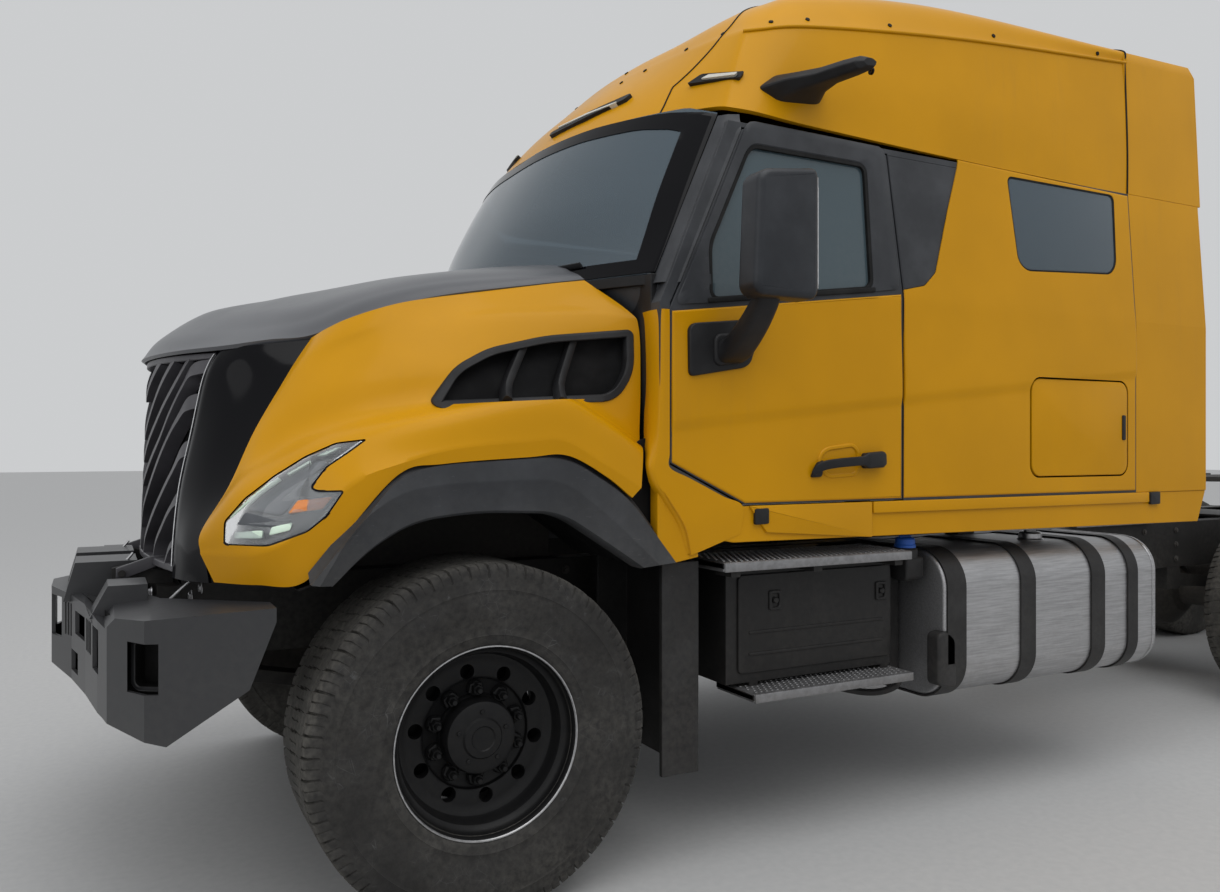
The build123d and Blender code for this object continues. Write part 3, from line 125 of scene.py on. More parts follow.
def copies(shape, moves, turns=None):
    """The shape repeated: each copy is its points turned by a 3x3 matrix and then moved by a vector."""
    turned = shape[0][None] if turns is None else np.einsum("kij,nj->kni", turns, shape[0])
    verts = turned + np.asarray(moves, float)[:, None]
    steps = np.arange(len(verts))[:, None, None] * len(shape[0])
    return verts.reshape(-1, 3), [(f[None] + steps).reshape(-1, f.shape[1]) for f in shape[1]]


def turns_about(axis, angles):
    """Matrices that turn about X, Y or Z by each angle."""
    c, s, o, l = np.cos(angles), np.sin(angles), np.zeros_like(angles), np.ones_like(angles)
    rows = {
        "x": [[l, o, o], [o, c, -s], [o, s, c]],
        "y": [[c, o, s], [o, l, o], [-s, o, c]],
        "z": [[c, -s, o], [s, c, o], [o, o, l]],
    }[axis]
    return np.moveaxis(np.array(rows), -1, 0)


def lathe(profile, centre, segments=48, axis="y", wrap=False):
    """Profile of (radius, distance along the axis) carried round the axis in equal steps."""
    profile = np.asarray(profile, float)
    a = np.linspace(0, 2 * np.pi, segments, endpoint=False)[:, None]
    r, d = profile[:, 0][None], np.broadcast_to(profile[:, 1][None], (segments, len(profile)))
    c, s = r * np.cos(a), r * np.sin(a)
    points = {"y": (c, d, s), "x": (d, s, c), "z": (s, c, d)}[axis]
    return outward(grid(np.stack(points, -1) + np.asarray(centre, float), wrap_rows=True, wrap_cols=wrap, turn=True))


def sweep(path, section, up=(0, 0, 1), closed=False):
    """Closed section of (sideways, upwards) carried along a path; sideways is tangent x up.

    The section may be one outline, or one for each point of the path.
    """
    path = np.asarray(path, float)
    if closed:
        tangent = np.roll(path, -1, 0) - np.roll(path, 1, 0)
    else:
        tangent = np.gradient(path, axis=0)
    tangent /= np.linalg.norm(tangent, axis=1, keepdims=True)
    side = np.cross(tangent, np.asarray(up, float))
    side /= np.linalg.norm(side, axis=1, keepdims=True)
    lift = np.cross(side, tangent)
    section = np.asarray(section, float)
    if section.ndim == 2:
        section = np.broadcast_to(section, (len(path),) + section.shape)
    points = path[:, None] + section[..., :1] * side[:, None] + section[..., 1:] * lift[:, None]
    return outward(grid(points, wrap_rows=True, wrap_cols=True)) if closed else capped(points)


def ring_section(radius, sides=12):
    """Circle as a closed section."""
    a = np.linspace(0, 2 * np.pi, sides, endpoint=False)
    return np.stack([np.cos(a), np.sin(a)], -1) * radius


def rounded(outline, radius, steps=5):
    """Closed outline whose corners are replaced by arcs that start a given length before them.

    Each arc is the rational quadratic through the two tangent points whose middle weight is the sine of
    half the corner's angle, which is a true circle.
    """
    p = np.asarray(outline, float)
    before, after = np.roll(p, 1, 0) - p, np.roll(p, -1, 0) - p
    lb, la = np.linalg.norm(before, axis=1, keepdims=True), np.linalg.norm(after, axis=1, keepdims=True)
    r = np.minimum(np.broadcast_to(np.asarray(radius, float).reshape(-1, 1), lb.shape), np.minimum(lb, la) * 0.49)
    a, c = p + before / lb * r, p + after / la * r
    t = np.linspace(0, 1, steps)[None, :, None]
    cosine = (before * after).sum(1) / np.maximum(lb[:, 0] * la[:, 0], 1e-9)
    weight = np.sqrt((1 - np.clip(cosine, -1, 1)) / 2)[:, None, None]
    share = (1 - t) ** 2 + 2 * t * (1 - t) * weight + t**2
    arcs = (1 - t) ** 2 * a[:, None] + 2 * t * (1 - t) * weight * p[:, None] + t**2 * c[:, None]
    return (arcs / share).reshape(-1, p.shape[1])


def rectangle(x0, y0, x1, y1, radius, steps=5):
    """Rectangle between two opposite corners, its corners rounded."""
    return rounded([(x0, y0), (x1, y0), (x1, y1), (x0, y1)], radius, steps)


def inset(outline, amount):
    """Closed plane outline moved to its left by an amount, each corner along the mean of its normals."""
    p = np.asarray(outline, float)
    ahead = np.roll(p, -1, 0) - p
    normal = np.stack([-ahead[:, 1], ahead[:, 0]], -1)
    normal /= np.maximum(np.linalg.norm(normal, axis=1, keepdims=True), 1e-9)
    mean = normal + np.roll(normal, 1, 0)
    return p + mean / np.maximum((mean**2).sum(1, keepdims=True), 0.4) * 2 * amount


def capped(points):
    """Closed shape of a stack of rings: the walls between them and one face over each end."""
    verts, faces = grid(points, wrap_cols=True)
    ring = np.arange(points.shape[1])
    return outward((verts, faces + [ring[::-1][None], (ring + len(verts) - len(ring))[None]]))


def stacked(rings, lay):
    """Closed shape over rings of (outline, height) laid on a surface."""
    return capped(np.stack([lay(*o.T, np.full(len(o), h)) for o, h in rings]))


def area(outline):
    """Twice the area of a closed outline, positive where it runs anticlockwise."""
    x, y = np.asarray(outline, float).T
    return np.sum(x * np.roll(y, -1) - y * np.roll(x, -1))


def leftward(outline):
    """The outline run anticlockwise, so that an inset draws it in."""
    o = np.asarray(outline, float)
    return o[::-1] if area(o) < 0 else o


def outward(shape):
    """The closed shape with its faces turned so that the volume they enclose is positive."""
    verts, faces = shape
    total = 0.0
    for f in faces:
        a = verts[f[:, :1]]
        b, c = verts[f[:, 1:-1]], verts[f[:, 2:]]
        total += float((a * np.cross(b, c)).sum())
    return (verts, [f[:, ::-1] for f in faces]) if total < 0 else shape


def along(points, count, closed=False):
    """Points at equal steps of length along a polyline."""
    p = np.asarray(points, float)
    if closed:
        p = np.concatenate([p, p[:1]])
    d = np.concatenate([[0], np.cumsum(np.linalg.norm(np.diff(p, axis=0), axis=1))])
    at = np.linspace(0, d[-1], count + 1)[:-1] if closed else np.linspace(0, d[-1], count)
    return np.stack([np.interp(at, d, p[:, k]) for k in range(p.shape[1])], -1)


def bent(points, radius, steps=5):
    """Open polyline whose inner corners are replaced by arcs."""
    p = np.asarray(points, float)
    return rounded(p, np.concatenate([[0], np.full(len(p) - 2, radius), [0]]), steps)


def coons(bottom, right, top, left):
    """Grid between four side polylines: the two ruled surfaces added, less the one through the corners.

    The sides run bottom and top from left to right, left and right from bottom to top.
    """
    b, t = np.asarray(bottom, float)[None], np.asarray(top, float)[None]
    l, r = np.asarray(left, float)[:, None], np.asarray(right, float)[:, None]
    v = np.linspace(0, 1, l.shape[0])[:, None, None]
    u = np.linspace(0, 1, b.shape[1])[None, :, None]
    corners = (1 - v) * ((1 - u) * b[:, :1] + u * b[:, -1:]) + v * ((1 - u) * t[:, :1] + u * t[:, -1:])
    return (1 - v) * b + v * t + (1 - u) * l + u * r - corners


def skin(sides, lay, rows=60, cols=60, edge=0.006, height=0.004, sink=0.004, relief=None):
    """Sheet laid on a surface with a rolled edge.

    The inside of four sides is filled as a grid; its border is carried outwards and down along a
    quarter circle of the edge radius, then on down to the sink. lay turns (u, v, height) into points.
    """
    bottom, right, top, left = (along(side, n) for side, n in zip(sides, (cols, rows, cols, rows)))
    loop = np.concatenate([bottom[:-1], right[:-1], top[::-1][:-1], left[::-1][:-1]])
    sign = 1.0 if area(loop) > 0 else -1.0
    inner = inset(loop, sign * edge)
    k = np.cumsum([0, cols - 1, rows - 1, cols - 1, rows - 1])
    b, r, t, l = (inner[np.arange(k[i], k[i + 1] + 1) % len(inner)] for i in range(4))
    fill = coons(b, r, t[::-1], l[::-1])
    lift = np.full(fill.shape[:2], height)
    if relief is not None:
        lift = lift + relief(fill[..., 0], fill[..., 1])
    top_sheet = lay(fill[..., 0], fill[..., 1], lift)
    edge_lift = height if relief is None else height + relief(inner[:, 0], inner[:, 1])
    rings = []
    for a in np.linspace(0, np.pi / 2, 4):
        o = inset(loop, sign * edge * (1 - np.sin(a)))
        rings.append(lay(o[:, 0], o[:, 1], edge_lift - edge * (1 - np.cos(a))))
    rings.append(lay(loop[:, 0], loop[:, 1], np.full(len(loop), -sink)))
    border = grid(np.stack(rings), wrap_cols=True)
    middle = fill.mean((0, 1))
    return join(facing(grid(top_sheet), lay, middle), facing(border, lay, middle))


def facing(shape, lay, at):
    """The shape with its faces turned to the side on which lay puts greater heights at a place (u, v)."""
    verts, faces = shape
    u, v = (np.array([q]) for q in at)
    out = (lay(u, v, np.array([0.01])) - lay(u, v, np.array([0.0])))[0]
    f = faces[0]
    normal = np.cross(verts[f[:, 2]] - verts[f[:, 0]], verts[f[:, 3]] - verts[f[:, 1]]).sum(0)
    return (verts, [q[:, ::-1] for q in faces]) if normal @ out < 0 else shape


def pad(outline, lay, height=0.006, edge=0.003, sink=0.004, steps=3):
    """Closed small form on a surface: outline up from the sink, rounded over its edge, and capped."""
    o = leftward(outline)
    turn = np.linspace(0, np.pi / 2, steps + 1)
    top = [(inset(o, edge * (1 - np.cos(a))), height - edge * (1 - np.sin(a))) for a in turn]
    return stacked([(o, -sink), *top], lay)


def same_angles(outer, inner, count):
    """Points of two outlines that lie at the same angles about the inner one's middle."""
    centre = inner.mean(0)
    a = along(outer, count, closed=True)
    angle = np.arctan2(a[:, 1] - centre[1], a[:, 0] - centre[0])
    fine = along(inner, 3000, closed=True) - centre
    turn, reach = np.arctan2(fine[:, 1], fine[:, 0]), np.hypot(fine[:, 0], fine[:, 1])
    order = np.argsort(turn)
    radius = np.interp(angle, turn[order], reach[order], period=2 * np.pi)
    return a, centre + radius[:, None] * np.stack([np.cos(angle), np.sin(angle)], -1)


def bar(outline, lay, low, high, edge, steps=4):
    """Closed bar between two heights over a surface, its outline drawn in by a quarter circle at both ends."""
    o = leftward(outline)
    end = [(inset(o, edge * (1 - np.sin(a))), edge * (1 - np.cos(a))) for a in np.linspace(0, np.pi / 2, steps + 1)]
    return stacked([(r, low + h) for r, h in end] + [(r, high - h) for r, h in end[::-1]], lay)


def band(outer, inner, lay, height=0.004, edge=0.0015, sink=0.004, count=160, rows=3):
    """Flat ring between two closed outlines on a surface, with rounded borders and walls down to the sink."""
    a, b = np.asarray(outer, float), np.asarray(inner, float)
    if len(a) != len(b):
        a, b = same_angles(a, b, count)
    count = len(a)
    width = np.linalg.norm(a - b, axis=1, keepdims=True).mean()
    e = edge / width
    shares = [0, 0, *np.linspace(e, 1 - e, rows + 1), 1, 1]
    heights = [-sink, height - edge, *[height] * (rows + 1), height - edge, -sink]
    points = np.stack([lay(*((1 - t) * a + t * b).T, np.full(count, h)) for t, h in zip(shares, heights)])
    return outward(grid(points, wrap_rows=True, wrap_cols=True))


def rounded_box(low, high, edge=0.01, steps=3):
    """Closed box rounded on all its upright and level edges: a level bar over a rounded rectangle."""
    e = min(edge, *(np.subtract(high, low) * 0.45))
    return bar(rectangle(*low[:2], *high[:2], e * 1.6), LEVEL, low[2], high[2], e, steps)


def bolt_heads(centres, axis="y", radius=0.011, height=0.009, sides=6):
    """Bolt heads: a washer ring and a chamfered six-sided head carried round the axis, once for each centre."""
    washer = lathe([(0, 0), (radius * 1.5, 0), (radius * 1.5, height * 0.2), (radius * 1.4, height * 0.28),
                    (0, height * 0.28)], (0, 0, 0), 16, axis)
    head = lathe([(0, height * 0.2), (radius, height * 0.2), (radius, height * 0.85), (radius * 0.8, height),
                  (0, height)], (0, 0, 0), sides, axis)
    return copies(join(washer, head), centres)


def surface_fit(cloud, spread=0.02):
    """Function that gives the third coordinate of a cloud of points at any two others.

    Each answer is the plane fitted to the cloud by least squares with weights exp(-d^2 / 2 spread^2).
    """
    cloud = np.asarray(cloud, float).reshape(-1, 3)

    def answer(u, v):
        u, v = np.broadcast_arrays(np.asarray(u, float), np.asarray(v, float))
        du = cloud[None, :, 0] - u.ravel()[:, None]
        dv = cloud[None, :, 1] - v.ravel()[:, None]
        d = du**2 + dv**2
        w = np.exp(-(d - d.min(1, keepdims=True)) / (2 * spread**2))
        basis = np.stack([np.ones_like(du), du, dv], -1)
        normal = np.einsum("qn,qni,qnj->qij", w, basis, basis) + np.eye(3) * 1e-9
        right = np.einsum("qn,qni,n->qi", w, basis, cloud[:, 2])
        return np.linalg.solve(normal, right[..., None])[:, 0, 0].reshape(u.shape)

    return answer


# Surfaces that things are laid on: each turns (u, v, height) into points
def side_y(z):
    """Outer face of the cab side: upright up to the belt, then leaning in by 40 mm up to the roof."""
    return HALF_WIDTH - 0.040 * np.clip((z - 2.04) / 0.588, 0, 1)


def on_side(x, z, h):
    """Cab side at (x, z)."""
    x, z, h = np.broadcast_arrays(x, z, h)
    return np.stack([x, side_y(z) + h, z], -1)


def soft_step(value, low, high):
    """0 below low, 1 above high, and the cubic between."""
    t = np.clip((value - low) / (high - low), 0, 1)
    return t * t * (3 - 2 * t)


def side_relief(x, z):
    """Soft ridge along the cab side: 7 mm up over 50 mm at the ridge line, fading out over 300 mm above it."""
    ridge = 1.542 - (x + 0.63) * 0.105
    return 0.007 * soft_step(z, ridge - 0.03, ridge + 0.02) * (1 - soft_step(z, ridge + 0.04, ridge + 0.34))


def on_plane(origin, u, v):
    """Surface function of a plane through an origin."""
    origin, u, v = (np.asarray(q, float) for q in (origin, u, v))
    w = np.cross(u, v)

    def lay(a, b, h):
        a, b, h = (np.asarray(q, float)[..., None] for q in np.broadcast_arrays(a, b, h))
        return origin + a * u + b * v + h * w

    return lay


LEVEL = on_plane((0, 0, 0), (1, 0, 0), (0, 1, 0))
MIDDLE = on_plane((0, 0, 0), (1, 0, 0), (0, 0, 1))
CROSSWAYS = on_plane((0, 0, 0), (0, 1, 0), (0, 0, 1))


def on_windshield(y, z, h):
    """Windshield at (y, z): its middle line is a parabola in z, its corners lie on a straight line, and
    between them x falls by a power of y that grows from 2 at the foot to 2.5.
    """
    y, z, h = np.broadcast_arrays(y, z, h)
    t = (z - 2.065) / 0.8
    lead, corner, half = -0.288 - 0.23 * t - 0.17 * t * t, -0.614 - 0.407 * t, 1.142 - 0.039 * t
    power = 2.0 + 0.5 * soft_step(z, 2.1, 2.4)
    x = lead - (lead - corner) * (np.abs(y) / half) ** power
    return np.stack([x + h * 0.86, y + h * 0.35 * np.sign(y), z + h * 0.45], -1)


def on_nose(y, z, h):
    """Front of the nose at (y, z): a circle at each height, flatter low down and rounder at the top."""
    y, z, h = np.broadcast_arrays(y, z, h)
    t = (z - 1.06) / 0.712
    lead, corner, half = 0.930 - 0.025 * t, 0.790 - 0.250 * t, 0.90 - 0.14 * t
    sag = lead - corner
    radius = (half**2 + sag**2) / (2 * sag)
    x = lead - (radius - np.sqrt(np.maximum(radius**2 - y**2, 0)))
    return np.stack([x + h, y + h * y / radius, z], -1)


def mesh_from(name, shape):
    """Mesh whose corners and faces are set as whole arrays."""
    verts, faces = shape
    mesh = bpy.data.meshes.new(name)
    loops = np.concatenate([f.ravel() for f in faces]).astype(np.int32)
    totals = np.concatenate([np.full(len(f), f.shape[1]) for f in faces])
    starts = np.concatenate([[0], np.cumsum(totals)[:-1]]).astype(np.int32)
    mesh.vertices.add(len(verts))
    mesh.vertices.foreach_set("co", (verts + (AXLE_X, 0, 0)).astype(np.float32).ravel())
    mesh.loops.add(len(loops))
    mesh.loops.foreach_set("vertex_index", loops)
    mesh.polygons.add(len(totals))
    mesh.polygons.foreach_set("loop_start", starts)
    mesh.update(calc_edges=True)
    mesh.validate()
    return mesh


def smooth(mesh, angle):
    """Smooth shading, kept sharp where faces meet at more than an angle in degrees."""
    mesh.shade_smooth()
    mesh.set_sharp_from_angle(angle=math.radians(angle))


def piece(name, shape, finish, body="chassis", stands_for=(), sharp=40, weld=False, wall=0.0, cuts=(), bevel=0.0):
    """One object of the dressed model: its mesh, finish, body, and the CAD nodes that it stands for.

    With a wall, a Solidify gives the sheet that thickness inwards; each cut is then taken out of it.
    """
    obj = bpy.data.objects.new(name, mesh_from(name, shape))
    bpy.context.scene.collection.objects.link(obj)
    if weld:
        obj.modifiers.new("Merge", "WELD").merge_threshold = 1e-5
    if wall:
        skin = obj.modifiers.new("Wall", "SOLIDIFY")
        skin.thickness, skin.offset = wall, -1.0
    tools = []
    for shape_cut in cuts:
        tool = bpy.data.objects.new("cutter", mesh_from("cutter", shape_cut))
        bpy.context.scene.collection.objects.link(tool)
        cut = obj.modifiers.new("Cut", "BOOLEAN")
        cut.operation, cut.solver, cut.object = "DIFFERENCE", "EXACT", tool
        tools.append(tool)
    if bevel:
        round_edges(obj, bevel)
    if obj.modifiers:
        graph = bpy.context.evaluated_depsgraph_get()
        done = bpy.data.meshes.new_from_object(obj.evaluated_get(graph))
        obj.modifiers.clear()
        obj.data = done
        for tool in tools:
            bpy.data.objects.remove(tool)
    obj.data.materials.clear()
    obj.data.materials.append(FINISH[finish])
    smooth(obj.data, sharp)
    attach(obj, body)
    if stands_for:
        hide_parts(*stands_for)
    return obj


def round_edges(obj, width, angle=30, segments=2):
    """Bevel on the edges sharper than an angle."""
    mod = obj.modifiers.new("Edges", "BEVEL")
    mod.width, mod.segments, mod.limit_method = width, segments, "ANGLE"
    mod.angle_limit = math.radians(angle)
    mod.use_clamp_overlap = True
    return mod


def dress(node, finish, bevel):
    """Gives a CAD node its finish and, live on its unchanged mesh, merged corners and rounded edges."""
    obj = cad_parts[node]
    obj.data.materials.clear()
    obj.data.materials.append(FINISH[finish])
    if bevel:
        obj.modifiers.new("Merge", "WELD").merge_threshold = 1e-5
        flat = obj.modifiers.new("Flats", "DECIMATE")
        flat.decimate_type, flat.angle_limit = "DISSOLVE", math.radians(1.0)
        round_edges(obj, bevel)
        obj.modifiers.new("Shading", "WEIGHTED_NORMAL").keep_sharp = True
    return obj


# Finishes
FINISH = {}


class Graph:
    """Adds nodes to a tree: capital names are sockets, i0 and i1 sockets by number, others settings."""

    def __init__(self, tree):
        self.tree = tree

    def put(self, kind, out=0, **given):
        node = self.tree.nodes.new(kind if kind.startswith("NodeGroup") else "ShaderNode" + kind)
        settings = {k: v for k, v in given.items() if not (k[0].isupper() or k[1:].isdigit())}
        for key, value in settings.items():
            setattr(node, key, value)
        for key, value in given.items():
            if key in settings:
                continue
            socket = node.inputs[int(key[1:])] if key[1:].isdigit() else node.inputs[key.replace("_", " ")]
            if isinstance(value, bpy.types.NodeSocket):
                self.tree.links.new(value, socket)
            else:
                socket.default_value = value
        return node.outputs[out]

    def math(self, operation, a, b=0.0, c=0.0, clamp=False):
        return self.put("Math", operation=operation, use_clamp=clamp, i0=a, i1=b, i2=c)

    def mix(self, share, a, b):
        return self.put("Mix", out=2, data_type="RGBA", i0=share, i6=a, i7=b)

    def ramp(self, value, low, high):
        return self.put("MapRange", Value=value, From_Min=low, From_Max=high, interpolation_type="SMOOTHSTEP")

    def coords(self):
        return self.put("TexCoord", out="Object")

    def stretched(self, x, y, z):
        """Object coordinates scaled by a different amount along each axis."""
        return self.put("Mapping", Vector=self.coords(), Scale=(x, y, z))

    def noise(self, vector, scale, detail=3.0, rough=0.5):
        return self.put("TexNoise", Vector=vector, Scale=scale, Detail=detail, Roughness=rough)


def effect(name, inputs, outputs, build):
    """Shader node group with named inputs of (name, default) and named value outputs."""
    tree = bpy.data.node_groups.new(name, "ShaderNodeTree")
    for label, default in inputs:
        kind = "NodeSocketVector" if isinstance(default, tuple) else "NodeSocketFloat"
        tree.interface.new_socket(label, in_out="INPUT", socket_type=kind).default_value = default
    for label in outputs:
        tree.interface.new_socket(label, in_out="OUTPUT", socket_type="NodeSocketFloat")
    g = Graph(tree)
    start, end = tree.nodes.new("NodeGroupInput"), tree.nodes.new("NodeGroupOutput")
    results = build(g, start.outputs)
    for label, result in zip(outputs, results):
        tree.links.new(result, end.inputs[label])
    return tree


def build_dust(g, given):
    """Dust that thins out with height: a soft step on z, broken up by two sizes of cloud noise."""
    coords = g.coords()
    z = g.put("SeparateXYZ", out=2, Vector=coords)
    cloud = g.noise(coords, 3.1, 5.0, 0.62)
    speck = g.noise(coords, 46.0, 3.0, 0.6)
    wander = g.math("MULTIPLY_ADD", cloud, 0.9, -0.45)
    level = g.math("ADD", z, wander)
    fall = g.put("MapRange", Value=level, From_Min=given["High"], From_Max=given["Low"],
                 interpolation_type="SMOOTHSTEP")
    broken = g.math("MULTIPLY", g.ramp(cloud, 0.25, 0.75), g.ramp(speck, 0.2, 0.75))
    share = g.math("MULTIPLY", fall, g.math("ADD", broken, 0.35))
    return [g.math("MULTIPLY", share, given["Amount"], clamp=True)]


def build_scuff(g, given):
    """Thin scratches and rubbed patches: stretched noise cut at a high level, thinned by cloud noise."""
    coords = g.put("Mapping", Vector=g.coords(), Scale=given["Run"])
    hair = g.noise(coords, given["Scale"], 8.0, 0.72)
    cloud = g.noise(g.coords(), 5.0, 3.0)
    line_mask = g.ramp(hair, 0.60, 0.68)
    return [g.math("MULTIPLY", g.math("MULTIPLY", line_mask, g.ramp(cloud, 0.42, 0.7)), given["Amount"], clamp=True)]


def build_grain(g, given):
    """Moulded plastic grain: rounded cell noise with finer noise on it."""
    coords = g.coords()
    cell = g.put("TexVoronoi", Vector=coords, Scale=given["Scale"], feature="SMOOTH_F1", Smoothness=0.6)
    return [g.math("ADD", cell, g.math("MULTIPLY", g.noise(coords, given["Scale"], 2.0), 0.5))]


def build_streak(g, given):
    """Rain marks: noise drawn out along z, cut soft, and strongest in patches."""
    streak = g.noise(g.stretched(9.0, 9.0, 0.55), given["Scale"], 5.0, 0.65)
    cloud = g.noise(g.coords(), 1.3, 2.0)
    return [g.math("MULTIPLY", g.ramp(streak, 0.5, 0.72),
                   g.math("MULTIPLY", g.ramp(cloud, 0.35, 0.7), given["Amount"]))]


def build_peel(g, given):
    """Sprayed paint: a faint long wave with a fine dimple on it."""
    coords = g.coords()
    wave = g.noise(coords, 2.2, 1.0)
    dimple = g.noise(coords, 260.0, 1.0)
    return [g.math("ADD", g.math("MULTIPLY", wave, given["Wave"]), g.math("MULTIPLY", dimple, 0.02))]


EFFECTS = {}


def build_effects():
    """All shared effects, each made once."""
    EFFECTS["dust"] = effect("Road dust", [("Low", 0.5), ("High", 1.6), ("Amount", 0.6)], ["Mask"], build_dust)
    EFFECTS["scuff"] = effect("Scuffs", [("Scale", 20.0), ("Amount", 0.5), ("Run", (1.0, 1.0, 6.0))], ["Mask"],
                              build_scuff)
    EFFECTS["grain"] = effect("Moulded grain", [("Scale", 900.0)], ["Height"], build_grain)
    EFFECTS["streak"] = effect("Rain streaks", [("Scale", 3.0), ("Amount", 0.3)], ["Mask"], build_streak)
    EFFECTS["peel"] = effect("Sprayed surface", [("Wave", 0.6)], ["Height"], build_peel)


def use(g, name, **given):
    """Places a shared effect in a material with its own values."""
    return g.put("Group", node_tree=EFFECTS[name], **given)


def new_finish(name, slot, **shader):
    """Material with one Principled shader; plain values are set on its own sockets."""
    mat = bpy.data.materials.new(name)
    mat.use_nodes = True
    g = Graph(mat.node_tree)
    bsdf = mat.node_tree.nodes["Principled BSDF"]
    for key, value in shader.items():
        bsdf.inputs[key.replace("_", " ")].default_value = value
    FINISH[name] = mat
    return g, bsdf


def feed(g, bsdf, **links):
    """Links worked-out colours, masks and normals to the shader's sockets."""
    for key, value in links.items():
        g.tree.links.new(value, bsdf.inputs[key.replace("_", " ")])


def rgba(color, gain=1.0):
    return (color[0] * gain, color[1] * gain, color[2] * gain, 1.0)


DUST_COLOR = (0.20, 0.185, 0.16, 1.0)


def coated(name, slot, color, rough, coat, dust, streak=0.15, wave=0.6, coat_rough=0.08, bump=0.12, shine=0.5):
    """Sprayed paint: clear coat over colour with slow tone changes, rain marks and road dust."""
    g, bsdf = new_finish(name, slot, Coat_Roughness=coat_rough, Coat_IOR=1.5, Coat_Weight=coat,
                         Specular_IOR_Level=shine)
    coords = g.coords()
    tone = g.mix(g.ramp(g.noise(coords, 1.6, 4.0), 0.3, 0.75), rgba(color, 0.93), rgba(color, 1.06))
    mark = use(g, "streak", Amount=streak)
    film = use(g, "dust", Amount=dust)
    base = g.mix(mark, tone, rgba([c * 0.72 + 0.03 for c in color]))
    base = g.mix(film, base, DUST_COLOR)
    roughness = g.math("ADD", g.math("MULTIPLY", g.math("ADD", film, mark), 0.35), rough, clamp=True)
    bumped = g.put("Bump", Strength=bump, Distance=0.002, Height=use(g, "peel", Wave=wave))
    feed(g, bsdf, Base_Color=base, Roughness=roughness, Normal=bumped)


def moulded(name, slot, color, rough, dust=0.35, scale=900.0, bump=0.25, scuffs=0.2, shine=0.35):
    """Grained plastic: dimpled surface, greyed in patches, with pale scuffs and dust."""
    g, bsdf = new_finish(name, slot, Specular_IOR_Level=shine)
    coords = g.coords()
    grey = [c * 1.5 + 0.012 for c in color]
    tone = g.mix(g.ramp(g.noise(coords, 4.5, 5.0, 0.6), 0.35, 0.8), rgba(color), rgba(grey))
    rub = use(g, "scuff", Scale=26.0, Amount=scuffs)
    film = use(g, "dust", Amount=dust)
    base = g.mix(film, g.mix(rub, tone, rgba([c + 0.12 for c in color])), DUST_COLOR)
    roughness = g.math("ADD", g.math("MULTIPLY", film, 0.3), rough, clamp=True)
    bumped = g.put("Bump", Strength=bump, Distance=0.0006, Height=use(g, "grain", Scale=scale))
    feed(g, bsdf, Base_Color=base, Roughness=roughness, Normal=bumped)


def worn_metal(name, slot, color, rough, metal, dust=0.4, run=(1.0, 1.0, 1.0), scale=40.0, bump=0.2, bright=0.5):
    """Metal: brushed or cast surface with scratches that show brighter and a film of dust."""
    g, bsdf = new_finish(name, slot, Metallic=metal)
    brushed = g.noise(g.stretched(*run), scale, 6.0, 0.65)
    tone = g.mix(g.ramp(brushed, 0.3, 0.7), rgba(color, 0.8), rgba(color, 1.15))
    rub = use(g, "scuff", Scale=34.0, Amount=bright, Run=run)
    film = use(g, "dust", Amount=dust)
    base = g.mix(film, g.mix(rub, tone, rgba([min(1.0, c * 1.5 + 0.1) for c in color])), DUST_COLOR)
    spread = g.math("MULTIPLY_ADD", brushed, 0.25, rough - 0.12)
    roughness = g.math("ADD", spread, g.math("MULTIPLY", film, 0.4), clamp=True)
    bumped = g.put("Bump", Strength=bump, Distance=0.001, Height=brushed)
    feed(g, bsdf, Base_Color=base, Roughness=roughness, Normal=bumped)


